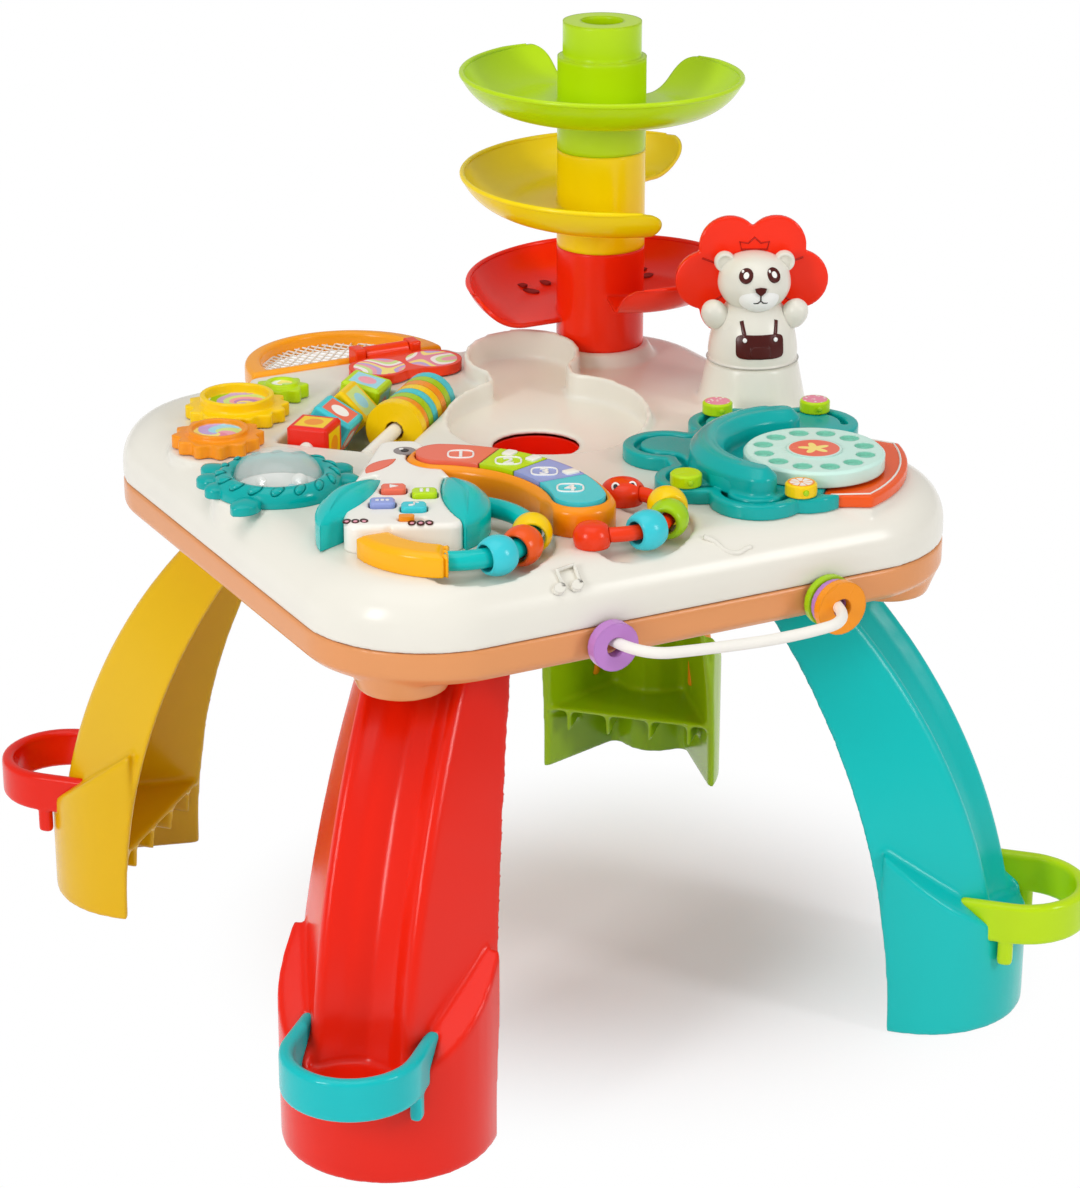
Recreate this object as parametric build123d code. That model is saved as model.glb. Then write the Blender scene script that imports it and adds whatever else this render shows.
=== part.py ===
"""Activity table: a square play top on four ball-run legs, with a spiral ball tower.

Millimetres, +Z up, the floor at z = 0 under the middle of the table.
The cord side is -Y, the net side is +Y, the red leg stands on the -X -Y diagonal.
"""
import os
from math import atan2, cos, degrees, hypot, radians, sin, tan

from build123d import *

os.makedirs("parts", exist_ok=True)

# Table body
HALF = 187.0            # half side of the top
CORNER = 70.0           # plan corner radius
BAND = 251.0            # underside of the lower shell
SEAM = BAND + 19        # joint between the two shells
DECK = SEAM + 33        # play surface
EDGE = 24.0             # rounding of the top edge
WALL = 3.0              # moulded wall

# Clearances
FIT = 0.05              # radial running fit on a pin
GAP = 0.4               # air under or beside a moving piece
PRESS = 2.0             # travel of keys and buttons

# Ball run
BALL = 32.0
BOWL = (30.0, 28.0)
BOWL_R = 56.0
CUP = (58.0, 112.0)
CUP_R = 31.0
HOLE = (17.0, 17.0)
HOLE_R = 24.0
HOLE_Z = DECK - 10
BOWL_SLOPE = 0.07       # rise of the bowl floor away from the hole
TOWER = (118.0, 126.0)
COLUMN_R = 26.0
TOWER_Z = tuple(DECK + rise for rise in (8, 68, 126, 180.5, 201))

# Play pieces on the deck
TRAY = Pos(-57, 79, 0) * Rot(0, 0, 45)
TRAY_SIZE = (108.0, 72.0)
TRAY_FLOOR = DECK - 24.5
ROD_R = 4.0
ROD_Z = DECK - 3
ROD_Y = 18.0
BLOCK = 24.0
RING_T = 7.2
MODULE = 4.0
TEETH = (14, 12, 7)
GEAR_YELLOW = (-122.0, 116.0)
GEAR_DIRECTIONS = (235.0, 29.0)
FISH = (-150.0, -4.0)
FISH_R = 35.0
BIRD = Pos(-118, -92, 0) * Rot(0, 0, -24.8)
PANEL_Z = DECK + 15
BEAK = (-112.0, -106.0)
BEAK_R = 80.0
RAIL_A = (-106.0, -121.0)
RAIL_A_R = 42.0
RAIL_A_Z = DECK + 5.6
RAIL_B = (-22.0, -133.0)
RAIL_B_R = 34.0
RAIL_B_Z = DECK + 6
BEAD_R = 10.5
BEAD_T = 15.0
TRACK_W = 24.0
TRACK_A = (-117.0, 36.0)
TRACK_B = (-108.0, 24.0)
DIAL = (110.0, -126.0)
DIAL_R = 38.0
PLATE_Z = DECK + 8
LION = (155.0, 12.0)
LION_Z = DECK + 24
LION_TURN = -25.0
FLIP = (-2.0, HALF - 14)
FLIP_Z = DECK + 6
NET = (-23.0, HALF - 8)
NET_R = 62.0
NET_Z = (DECK - 10, DECK + 2)
CORD_R = 3.0
CORD_Z = BAND + 12
CORD_X = (-50.0, 80.0)
CORD_OUT = (HALF + 27, HALF + 36)
CORD_END = HALF - 11    # where each end meets its anchor rib inside


def save(shape, name):
    export_step(shape, f"parts/{name}.step")


def slab(sketch, z0, z1):
    return extrude(Pos(0, 0, z0) * sketch, z1 - z0, dir=(0, 0, 1))


def disc(x, y, z0, z1, r):
    return Pos(x, y, (z0 + z1) / 2) * Cylinder(r, z1 - z0)


def cone(x, y, z0, z1, r0, r1):
    return Pos(x, y, (z0 + z1) / 2) * Cone(r0, r1, z1 - z0)


def polar(centre, r, deg):
    return (centre[0] + r * cos(radians(deg)), centre[1] + r * sin(radians(deg)))


def top_edges(solid):
    return solid.edges().group_by(Axis.Z)[-1]


def faceted(profile, sides):
    """Turned form with flat sides, from (radius, height) pairs."""
    rings = []
    for r, z in profile:
        rings.append([(*polar((0, 0), r, 360 * k / sides), z) for k in range(sides)])
    faces = [Face(Wire.make_polygon(ring)) for ring in (rings[0], rings[-1])]
    for lower, upper in zip(rings, rings[1:]):
        for k in range(sides):
            n = (k + 1) % sides
            faces.append(Face(Wire.make_polygon([lower[k], lower[n], upper[n], upper[k]])))
    return Solid(Shell(faces))


def rounded_block(half, corner, z0, z1):
    return slab(RectangleRounded(2 * half, 2 * half, corner), z0, z1)


def arc_slot(centre, radius, start, end, width):
    line = CenterArc(centre, radius, start, end - start)
    return SlotArc(line, width)


def leaf(a, b, left, right):
    """Leaf outline from a to b bulging to the points left and right."""
    return make_face(ThreePointArc(a, left, b) + ThreePointArc(b, right, a))


def half_disc(r):
    return Circle(r) & Pos(0, r) * Rectangle(2 * r, 2 * r)


# Phone outlines, shared by the top shell
LOBES = (
    (110, -42, 25), (148, -62, 27), (58, -58, 24), (46, -112, 23),
    (62, -146, 25), (88, -150, 23), (100, -100, 58),
)
cheek_outline = make_face(
    Polyline((118, -134), (146, -76), (174, -112))
    + ThreePointArc((174, -112), (150, -154), (113, -179))
    + Polyline((113, -179), (90, -166), (118, -134))
)
plate_outline = Sketch()
for lobe_x, lobe_y, lobe_r in LOBES:
    plate_outline += Pos(lobe_x, lobe_y) * Circle(lobe_r)
plate_outline -= cheek_outline

# Ball bowl outline
bowl_turn = degrees(atan2(CUP[1] - BOWL[1], CUP[0] - BOWL[0]))
bowl_run = hypot(CUP[0] - BOWL[0], CUP[1] - BOWL[1])
bowl_outline = Pos(*BOWL) * Circle(BOWL_R) + Pos(*CUP) * Circle(CUP_R)
bowl_mid = ((BOWL[0] + CUP[0]) / 2, (BOWL[1] + CUP[1]) / 2)
bowl_outline += Pos(*bowl_mid) * Rot(0, 0, bowl_turn) * Rectangle(bowl_run, 44)
bowl_outline = fillet(bowl_outline.vertices(), 7)
bowl_wall = offset(bowl_outline, WALL)

# Gear places
gear_r = [MODULE * n / 2 for n in TEETH]
gear_orange = polar(GEAR_YELLOW, gear_r[0] + gear_r[1], GEAR_DIRECTIONS[0])
gear_green = polar(GEAR_YELLOW, gear_r[0] + gear_r[2], GEAR_DIRECTIONS[1])
gear_places = (GEAR_YELLOW, gear_orange, gear_green)
POST_TOP = DECK + 6.7


def above_floor(z):
    """Everything above a shallow funnel round the ball hole, z high at the hole."""
    reach = 160
    rise = reach * BOWL_SLOPE
    section = Polygon((0, z), (reach, z + rise), (reach, DECK + 60), (0, DECK + 60), align=None)
    return Pos(*HOLE, 0) * revolve(Plane.XZ * section, Axis.Z)


def top_shell():
    outer = rounded_block(HALF, CORNER, SEAM, DECK)
    outer = fillet(top_edges(outer), EDGE)
    pads = Pos(*FISH) * Circle(FISH_R + 1) + Pos(*gear_orange) * Circle(28)
    pads += Pos(NET[0], NET[1] - 16) * RectangleRounded(2 * NET_R + 8, 32, 6)
    pads += plate_outline + cheek_outline
    outer += slab(pads, DECK - 18, DECK)
    outer += cone(*LION, DECK - 3, LION_Z, 31.5, 26)
    outer += cone(*TOWER, DECK - 2, TOWER_Z[0], 35, 29)
    inner = rounded_block(HALF - WALL, CORNER - WALL, SEAM - 1, DECK - WALL)
    inner = chamfer(top_edges(inner), EDGE - WALL)
    shell = outer - inner
    shell -= Pos(*NET, 0) * slab(half_disc(NET_R), *NET_Z)
    shell -= cone(*LION, DECK - 4, LION_Z - WALL, 28, 23)

    # ball bowl: floor falling to the hole, raised lip round the far side
    lip = Plane(origin=(BOWL[0], BOWL[1] - BOWL_R, DECK - 1), z_dir=(-0.08, -0.09, 1))
    shell += slab(bowl_wall, SEAM + 1, DECK - 1) & above_floor(HOLE_Z - WALL)
    shell += split(slab(bowl_wall, DECK - 2, DECK + 30), lip, Keep.BOTTOM)
    shell -= slab(bowl_outline, SEAM, DECK + 40) & above_floor(HOLE_Z)
    shell -= disc(*HOLE, SEAM, DECK, HOLE_R)

    # tray for the blocks and counting rings
    wall = RectangleRounded(TRAY_SIZE[0] + 2 * WALL, TRAY_SIZE[1] + 2 * WALL, 6)
    shell += TRAY * slab(wall, TRAY_FLOOR - WALL, DECK - 1)
    shell -= TRAY * slab(RectangleRounded(*TRAY_SIZE, 3), TRAY_FLOOR, DECK + 5)

    # sunk tracks for the beads
    for centre, radius, z, start, end in (
        (RAIL_A, RAIL_A_R, RAIL_A_Z, *TRACK_A),
        (RAIL_B, RAIL_B_R, RAIL_B_Z, *TRACK_B),
    ):
        depth = z - BEAD_R - 1.5
        skin = slab(arc_slot(centre, radius, start, end, TRACK_W + 2 * WALL), depth - WALL, DECK)
        shell += skin & outer
        shell -= slab(arc_slot(centre, radius, start, end, TRACK_W), depth, DECK + 1)

    for place in gear_places:
        shell += disc(*place, DECK - 1, POST_TOP, ROD_R)
    shell -= disc(*LION, DECK, LION_Z + 1, 6)
    return shell


# Legs, drawn along the diagonal and turned into place
RIDGE = HALF + 98       # ridge at the floor
RIDGE_R = 342.0         # side curve of the ridge
INNER_EDGE = RIDGE - 57 # inner edge at the floor
INNER_R = 394.0         # side curve of the inner edge
CHANNEL = 12.0          # depth of the ball channel
BOOT_R = 57.0
BOOT_D = RIDGE - 49     # where the round front of the boot begins
SHELF = 44.0
RIB = ((BOOT_D - 14, SHELF - 1), (BOOT_D + 34, SHELF - 1), (BOOT_D + 34, 30), (BOOT_D - 14, 26))
HOOP_Z = (55.0, 76.0)
HOOP_D = RIDGE + 5
HOOP_R = 36.0
HOOP_T = 5.0
LEG_TURNS = {"red": 225, "teal": 315, "yellow": 135, "green": 45}


def bent(sketch):
    """A leg section carried up the side curve, from the floor to the table."""
    side = Axis((RIDGE - RIDGE_R, 0, 0), (0, -1, 0))
    return revolve(sketch, side, 62) & Pos(RIDGE - 80, 0, BAND / 2) * Box(500, 200, BAND)


def d_outline(r):
    return make_face(
        Polyline((BOOT_D, r), (BOOT_D - 14, r), (BOOT_D - 14, -r), (BOOT_D, -r))
        + ThreePointArc((BOOT_D, -r), (BOOT_D + r, 0), (BOOT_D, r))
    )


def catch_hoop():
    hollow = HOOP_R - HOOP_T
    outline = Pos(HOOP_D, 0) * Circle(HOOP_R) + Pos(HOOP_D - 14, 0) * Rectangle(28, 2 * HOOP_R)
    outline -= Pos(HOOP_D, 0) * Circle(hollow) + Pos(HOOP_D - 14, 0) * Rectangle(29, 2 * hollow)
    hoop = slab(outline - Pos(HOOP_D - 48, 0) * Rectangle(40, 80), *HOOP_Z)
    for side in (1, -1):
        place = (HOOP_D - 2, side * (HOOP_R - HOOP_T / 2), HOOP_Z[0] - 4)
        hoop += Pos(*place) * Box(6, HOOP_T - 1, 20)
    return hoop


def leg(hoop):
    flank = [(RIDGE - 75, 67), (RIDGE - 2, 27), (RIDGE, 23), (RIDGE - 8, 13)]
    inside = [(RIDGE - 75, 63.6), (RIDGE - 5.5, 25), (RIDGE - 4.2, 21.5), (RIDGE - CHANNEL - 0.5, 10)]
    inside += [(RIDGE - CHANNEL - WALL, 0)]
    hollow = inside + [(d, -v) for d, v in reversed(inside[:-1])]
    outside = flank + [(RIDGE - CHANNEL, 0)] + [(d, -v) for d, v in reversed(flank)]
    face = make_face(Polyline(*outside, *reversed(hollow), flank[0]))
    core = bent(make_face(Polyline(*hollow, (RIDGE - 110, -63.6), (RIDGE - 110, 63.6), hollow[0])))
    cut_back = Pos(INNER_EDGE - INNER_R, 0, 0) * Rot(90, 0, 0) * Cylinder(INNER_R, 200)
    boot = slab(d_outline(BOOT_R), 0, 125)
    boot = split(boot, Plane(origin=(RIDGE, 0, 60), z_dir=(0.75, 0, 1)), Keep.BOTTOM)
    boot -= core & Pos(BOOT_D, 0, SHELF + 150) * Box(300, 200, 300)
    boot -= slab(d_outline(BOOT_R - WALL), -1, SHELF - WALL)
    boot -= disc(RIDGE, 0, HOOP_Z[0] + 1, 200, HOOP_R - HOOP_T - 4)
    body = bent(face) + boot
    for v in (-40, -14, 14, 40):
        rib = make_face(Polyline(*RIB, RIB[0]))
        body += Pos(0, v + 1.2, 0) * extrude(Plane.XZ * rib, 2.4)
    return body - cut_back - hoop


def save_legs():
    hoop = catch_hoop()
    upright = leg(hoop)
    for name, turn in LEG_TURNS.items():
        save(Rot(0, 0, turn) * upright, f"leg_{name}")
        save(Rot(0, 0, turn) * hoop, f"catch_hoop_{name}")


# Tower: outer radius, rim height above the deck at both ends, start and sweep of each level
DISHES = {
    "red": (80.0, 61, 43, 250, 290),
    "yellow": (83.0, 117, 106, 22, 246),
    "green": (83.0, 172, 167, 85, 301),
}
DISH_H = 20.0           # depth of a dish under its rim
DISH_T = 2.5
DISH_STEPS = 14
DISH_CORNER = 12.0      # rounding of the wall at both ends


def dish_section(r, turn, rim):
    """Bowl-shaped wall section, standing radially at one turn of the run."""
    foot = COLUMN_R + 22
    inner = COLUMN_R - 2
    outside = ThreePointArc((r, 0), (r - 10, 4 - DISH_H * 0.85), (foot, -DISH_H))
    inside = ThreePointArc((foot, DISH_T - DISH_H), (r - 12, 6 - DISH_H * 0.85), (r - DISH_T, 0))
    under = Polyline((foot, -DISH_H), (inner, -DISH_H), (inner, DISH_T - DISH_H), (foot, DISH_T - DISH_H))
    outline = make_face(outside + under + inside + Line((r - DISH_T, 0), (r, 0)))
    along = (cos(radians(turn)), sin(radians(turn)), 0)
    stand = Plane(origin=(*TOWER, rim), x_dir=along, z_dir=(along[1], -along[0], 0))
    return stand * outline


def dish_corner(turn, rim, side):
    """Cutter that rounds the upper corner of the wall at one end of a run."""
    c = DISH_CORNER
    bend = c * (1 - cos(radians(45)))
    edge = ThreePointArc((0, -c), (bend, -bend), (c, 0)) + Polyline((c, 0), (c, 3), (-3, 3), (-3, -c), (0, -c))
    out = (cos(radians(turn)), sin(radians(turn)), 0)
    into = (-side * out[1], side * out[0], 0)
    stand = Plane(origin=(*TOWER, rim), x_dir=into, z_dir=tuple(side * v for v in out))
    reach = extrude(stand * make_face(edge), side * 90)
    return reach - disc(*TOWER, rim - 30, rim + 30, COLUMN_R + 10)


def dish(r, high, low, start, sweep):
    sections = []
    for k in range(DISH_STEPS + 1):
        along = k / DISH_STEPS
        sections.append(dish_section(r, start + sweep * along, DECK + high + (low - high) * along))
    run = loft(sections)
    run -= dish_corner(start, DECK + high, 1)
    return run - dish_corner(start + sweep, DECK + low, -1)


def save_tower():
    for i, (name, sizes) in enumerate(DISHES.items()):
        level = disc(*TOWER, TOWER_Z[i], TOWER_Z[i + 1], COLUMN_R) + dish(*sizes)
        if name == "green":
            level += disc(*TOWER, TOWER_Z[3] - 1, TOWER_Z[4], COLUMN_R - 3)
            level -= disc(*TOWER, TOWER_Z[3] - 20, TOWER_Z[4] + 1, 12.5)
        save(level, f"tower_{name}")


# Lower shell, battery door and ball chute
HOOD_D = HALF + 19      # middle of each leg hood along the diagonal
HOOD_R = 30.0
DOOR = (70.0, -60.0)
DOOR_SIZE = (90.0, 64.0)
CHUTE_W = BALL + 5
CHUTE_T = 1.4
CHUTE_RISE = 14.0       # height of the chute's side walls
CHUTE_Z = (BAND + 6.6, BAND + 4.7)


def bottom_shell():
    outer = rounded_block(HALF, CORNER, BAND, SEAM)
    outer = chamfer(outer.edges().group_by(Axis.Z)[0], 5)
    for turn in LEG_TURNS.values():
        outer += Rot(0, 0, turn) * cone(HOOD_D, 0, BAND - 10, BAND + 8, HOOD_R - 7, HOOD_R)
    inner = rounded_block(HALF - WALL, CORNER - WALL, BAND + WALL, SEAM + 1)
    shell = outer - inner
    shell -= Rot(0, 0, LEG_TURNS["red"]) * disc(HOOD_D, 0, BAND - 20, SEAM, BALL / 2 + 2)
    long, wide = DOOR_SIZE
    ledge = Pos(*DOOR) * (Rectangle(long + 10, wide + 10) - Rectangle(long - 8, wide - 8))
    shell += slab(ledge, BAND + WALL - 0.5, BAND + 2 * WALL)
    shell -= Pos(*DOOR, BAND) * Box(long + GAP, wide + GAP, 2 * WALL)
    for x in CORD_X:
        shell -= Pos(x, -HALF, CORD_Z) * Rot(90, 0, 0) * Cylinder(CORD_R + 1.2, 20)
        anchor = Pos(x, -CORD_END) * Rectangle(16, WALL, align=(Align.CENTER, Align.MIN))
        shell += slab(anchor, BAND + 1, SEAM - 0.5)
    return shell


def battery_door():
    door = slab(Pos(*DOOR) * Rectangle(*DOOR_SIZE), BAND, BAND + WALL)
    return door - Pos(DOOR[0], DOOR[1] - DOOR_SIZE[1] / 2 + 10, BAND) * Box(24, 6, 2)


def ball_chute():
    """Sloping trough from under the ball hole to the red corner."""
    end = polar((0, 0), HOOD_D, LEG_TURNS["red"])
    run = hypot(end[0] - HOLE[0], end[1] - HOLE[1])
    heading = degrees(atan2(end[1] - HOLE[1], end[0] - HOLE[0]))
    high, low = CHUTE_Z
    lean = degrees(atan2(high - low, run))
    back, front = -HOLE_R - 4, run - BALL / 2 - 4
    middle = (back + front) / 2
    trough = Pos(middle, 0, CHUTE_RISE / 2 - CHUTE_T) * Box(front - back, CHUTE_W + 2 * WALL, CHUTE_RISE)
    trough -= Pos(middle + WALL, 0, CHUTE_RISE / 2) * Box(front - back, CHUTE_W, CHUTE_RISE)
    trough = Pos(*HOLE, high) * Rot(0, 0, heading) * Rot(0, lean, 0) * trough
    for along in (10, run * 0.6):
        foot = Pos(*polar(HOLE, along, heading)) * Rot(0, 0, heading) * Rectangle(8, 30)
        trough += slab(foot, BAND + WALL, high - (high - low) * along / run - CHUTE_T / 2)
    return trough


def save_table():
    save(top_shell(), "top_shell")
    save(bottom_shell(), "bottom_shell")
    save(battery_door(), "battery_door")
    save(ball_chute(), "ball_chute")


# Gears
TOOTH = 2.0             # half height of a tooth
GEAR_TOP = DECK + 8
GEAR_RIMS = ((21, 14.0), (17, 11.0), (9.5, 10.0))
GEAR_NAMES = ("yellow", "orange", "green")


def gear_phases():
    """Turn of each gear so that a tooth faces a gap where two gears meet."""
    first = GEAR_DIRECTIONS[0]
    orange = first + 180 + 180 / TEETH[1]
    off = (GEAR_DIRECTIONS[1] - first) % (360 / TEETH[0])
    green = GEAR_DIRECTIONS[1] + 180 + off * gear_r[0] / gear_r[2] + 180 / TEETH[2]
    return first, orange, green


def gear(i):
    teeth, pitch = TEETH[i], gear_r[i]
    steps = 6 * teeth
    outline = []
    for k in range(steps):
        angle = 360 * k / steps
        outline.append(polar((0, 0), pitch - GAP + TOOTH * cos(radians(teeth * angle)), angle))
    rim_r, rim_h = GEAR_RIMS[i]
    body = slab(make_face(Polyline(*outline, outline[0])), DECK + GAP, GEAR_TOP)
    body += slab(RegularPolygon(rim_r, 36) - RegularPolygon(rim_r - 3, 36), GEAR_TOP - 1, DECK + rim_h)
    body -= disc(0, 0, DECK, POST_TOP + GAP, ROD_R + FIT)
    return Pos(*gear_places[i], 0) * Rot(0, 0, gear_phases()[i]) * body


def save_gears():
    for i, name in enumerate(GEAR_NAMES):
        save(gear(i), f"gear_{name}")


# Flip book
PAGE_R = 18.0
PIN_R = 2.0
KNUCKLE = 28.0


def along_x(x0, x1, y, z, r):
    return Pos((x0 + x1) / 2, y, z) * Rot(0, 90, 0) * Cylinder(r, x1 - x0)


def flip_hinge():
    reach = KNUCKLE / 2 + GAP
    hinge = along_x(FLIP[0] - reach - 4, FLIP[0] + reach + 4, FLIP[1], FLIP_Z, PIN_R)
    for side in (-1, 1):
        post = Pos(FLIP[0] + side * (reach + 3.5), FLIP[1], (DECK + FLIP_Z + 4.5) / 2)
        hinge += post * Box(7, 11, FLIP_Z + 4.5 - DECK)
    return hinge


def flip_page():
    middle = FLIP[1] - 10 - PAGE_R
    outline = Pos(FLIP[0], middle) * Rectangle(2 * PAGE_R, 2 * PAGE_R - 8)
    for side in (-1, 1):
        outline += Pos(FLIP[0] + side * 17, middle) * Circle(PAGE_R)
    page = slab(outline, DECK + 1, DECK + 6.5)
    page += Pos(FLIP[0], FLIP[1] - 9, FLIP_Z - 2) * Box(KNUCKLE, 18, 4)
    page += along_x(FLIP[0] - KNUCKLE / 2, FLIP[0] + KNUCKLE / 2, FLIP[1], FLIP_Z, PIN_R + 2.3)
    return page - along_x(FLIP[0] - 40, FLIP[0] + 40, FLIP[1], FLIP_Z, PIN_R + FIT)


# Blocks and counting rings in the tray
BLOCK_TURNS = {"red": 0.0, "turquoise": 28.0, "yellow": 45.0, "green": 12.0}
RINGS = 8
RING_R = 15.8
RING_PITCH = RING_T + 0.6


def rods():
    half = TRAY_SIZE[0] / 2
    pair = [along_x(-half, half, side * ROD_Y, ROD_Z, ROD_R) for side in (1, -1)]
    return TRAY * Compound(pair)


def save_tray():
    save(rods(), "tray_rods")
    step = TRAY_SIZE[0] / len(BLOCK_TURNS)
    bore = along_x(-BLOCK, BLOCK, 0, 0, ROD_R + FIT)
    for i, (name, turn) in enumerate(BLOCK_TURNS.items()):
        block = chamfer(Box(BLOCK, BLOCK, BLOCK).edges(), 1.5) - bore
        x = (i - (len(BLOCK_TURNS) - 1) / 2) * step
        save(TRAY * Pos(x, ROD_Y, ROD_Z) * Rot(turn, 0, 0) * block, f"block_{name}")
    stack = []
    for i in range(RINGS):
        size = RING_R + (1.3 if i == RINGS - 1 else 0)
        ring = extrude(Plane.YZ * (RegularPolygon(size, 28) - RegularPolygon(5.6, 10)), RING_T)
        x = TRAY_SIZE[0] / 2 - 1 - RING_T - i * RING_PITCH
        stack.append(TRAY * Pos(x, -ROD_Y, ROD_Z) * ring)
    save(Compound(stack), "counting_rings")


# Bird panel, wings, beak keyboard and tail
BUTTONS = {"coral": (-5, 16), "lime": (11, 9), "lavender": (-11, -5), "teal": (5, -12)}
BUTTON_SIZE = (13.0, 10.0)
SWITCH = (4.0, -27.0)
SWITCH_RUN = 6.0
KEYS = ("coral", "lime", "lavender", "teal")
KEY_ANGLES = (58.0, -18.0)
KEY_W = 28.0
BEAK_W = 38.0
KEY_FLOOR = DECK + 8
KEY_TOP = DECK + 17.5
PANEL_FLOOR = DECK + 6

wing_left = leaf((-13, 42), (-44, -27), (-39, 12), (-24, 2))
wing_right = leaf((22, 38), (31, -34), (20.5, 0), (45, 2))
tail_outline = Pos(*RAIL_A) * Rot(0, 0, 178) * make_face(
    CenterArc((0, 0), 52, 0, 62) + Line(polar((0, 0), 52, 62), polar((0, 0), 33, 62))
    + CenterArc((0, 0), 33, 0, 62) + Line((33, 0), (52, 0))
)


def bird_panel():
    corners = ((-11, 98), (11, 98), (19, 62), (31, 20), (30, -36), (-31, -36), (-31, 10), (-19, 62))
    outline = fillet(Polygon(*corners, align=None).vertices(), 8)
    panel = chamfer(top_edges(slab(outline, DECK, PANEL_Z)), 2)
    for wing in (wing_left, wing_right):
        panel -= slab(wing, DECK, PANEL_Z + 10)
    for place in BUTTONS.values():
        hole = RectangleRounded(BUTTON_SIZE[0] + 2 * GAP, BUTTON_SIZE[1] + 2 * GAP, 3)
        panel -= slab(Pos(*place) * hole, PANEL_FLOOR, PANEL_Z + 1)
    slot = RectangleRounded(8 + SWITCH_RUN + 2 * GAP, 5 + 2 * GAP, 2)
    panel -= slab(Pos(*SWITCH) * slot, PANEL_Z - 5, PANEL_Z + 1)
    panel = BIRD * panel
    for neighbour in (tail_outline, beak_slot(BEAK_W)):
        panel -= slab(neighbour, DECK - 1, PANEL_Z + 10)
    return panel


def bird_wings():
    wings = []
    for outline in (wing_left, wing_right):
        wings.append(BIRD * chamfer(top_edges(slab(outline, DECK, PANEL_Z + 5)), 4))
    rail = revolve(Plane.XZ * Pos(RAIL_A_R, RAIL_A_Z, 0) * RegularPolygon(5.2, 8), Axis.Z, 176)
    rail = Pos(*RAIL_A, 0) * Rot(0, 0, -120) * rail
    wings[1] += rail
    return Compound(wings)


def beak_slot(width):
    return arc_slot(BEAK, BEAK_R, KEY_ANGLES[1], KEY_ANGLES[0], width)


def beak_and_tail():
    beak = chamfer(top_edges(slab(beak_slot(BEAK_W), DECK, PANEL_Z + 1)), 3)
    beak -= slab(beak_slot(KEY_W), KEY_FLOOR, PANEL_Z + 5)
    beak -= slab(arc_slot(RAIL_A, RAIL_A_R, *TRACK_A, TRACK_W), DECK, PANEL_Z + 5)
    tail = chamfer(top_edges(slab(tail_outline, DECK, RAIL_A_Z + 7)), 2.5)
    return Compound([beak, tail])


def key(i):
    """One key: a stretch of the beak slot between two radial cuts."""
    first, last = KEY_ANGLES
    step = (first - last) / len(KEYS)
    high = first - i * step if i else first + 30
    low = first - (i + 1) * step if i < len(KEYS) - 1 else last - 30
    wedge = make_face(Polyline(BEAK, polar(BEAK, 160, low), polar(BEAK, 160, high), BEAK))
    outline = beak_slot(KEY_W - 2 * GAP) & offset(wedge, -GAP)
    return slab(outline, KEY_FLOOR + PRESS + GAP, KEY_TOP)


def save_bird():
    save(bird_panel(), "bird_panel")
    save(bird_wings(), "bird_wings")
    save(beak_and_tail(), "beak_and_tail")
    for i, name in enumerate(KEYS):
        save(key(i), f"key_{name}")
    for name, place in BUTTONS.items():
        outline = Pos(*place) * RectangleRounded(*BUTTON_SIZE, 2.6)
        button = slab(outline, PANEL_FLOOR + PRESS + GAP, PANEL_Z + 2.6)
        save(BIRD * chamfer(top_edges(button), 0.8), f"button_{name}")
    knob = Pos(SWITCH[0] - SWITCH_RUN / 2, SWITCH[1]) * RectangleRounded(8, 5, 2)
    save(BIRD * slab(knob, PANEL_Z - 5 + GAP, PANEL_Z + 2), "power_switch")


# Beads on the two rails
BEADS_A = {"yellow_orange_a": (-30, -56), "blue_a": (-82,)}
BEADS_B = {"yellow_green_b": (-12, -45), "blue_b": (-80,)}


def bead(bore):
    half = BEAD_T / 2
    turned = faceted(((8.2, -half), (10, -4), (BEAD_R, 0), (10, 4), (8.2, half)), 16)
    return turned - extrude(Pos(0, 0, -half - 1) * RegularPolygon(bore, 10), BEAD_T + 2)


def save_beads():
    for beads, centre, radius, z, bore in (
        (BEADS_A, RAIL_A, RAIL_A_R, RAIL_A_Z, 7.0),
        (BEADS_B, RAIL_B, RAIL_B_R, RAIL_B_Z, 6.0),
    ):
        for name, angles in beads.items():
            group = []
            for angle in angles:
                place = Pos(*centre, z) * Rot(0, 0, angle) * Pos(radius, 0, 0) * Rot(90, 0, 0)
                group.append(place * bead(bore))
            save(Compound(group), f"beads_{name}")
    save(worm_rail(), "worm_rail")


def worm_rail():
    rail = revolve(Plane.XZ * Pos(RAIL_B_R, RAIL_B_Z, 0) * RegularPolygon(4, 8), Axis.Z, 158)
    rail = Pos(*RAIL_B, 0) * Rot(0, 0, -122) * rail
    for angle, r in ((45, 12), (-130, 10)):
        dome = faceted(((r, 0), (r, 3), (r * 0.9, 7.5), (r * 0.62, 11), (r * 0.25, 12.8)), 16)
        rail += Pos(*polar(RAIL_B, RAIL_B_R, angle), DECK) * dome
    return rail


# Fish porthole
LENS_R = 24.0
FINS = ((128, 49), (152, 44), (176, 40), (224, 50), (8, 45), (-20, 44))     # direction and reach


def save_fish():
    bezel = slab(Circle(FISH_R), DECK, DECK + 10)
    bezel = chamfer(top_edges(bezel), 4)
    for angle, reach in FINS:
        root, tip = polar((0, 0), FISH_R - 9, angle), polar((0, 0), reach, angle - 6)
        sides = [polar((0, 0), (FISH_R + reach - 9) / 2, angle - 3 + lean) for lean in (11, -11)]
        bezel += slab(leaf(root, tip, *sides), DECK, DECK + 6)
    bezel -= disc(0, 0, DECK - 1, DECK + 12, LENS_R + 0.3)
    save(Pos(*FISH, 0) * bezel, "fish_bezel")
    profile = ((LENS_R, 0), (LENS_R, 6), (21.5, 12.5), (15.5, 18), (7, 20.5))
    save(Pos(*FISH, DECK) * faceted(profile, 40), "dome_lens")


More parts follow.
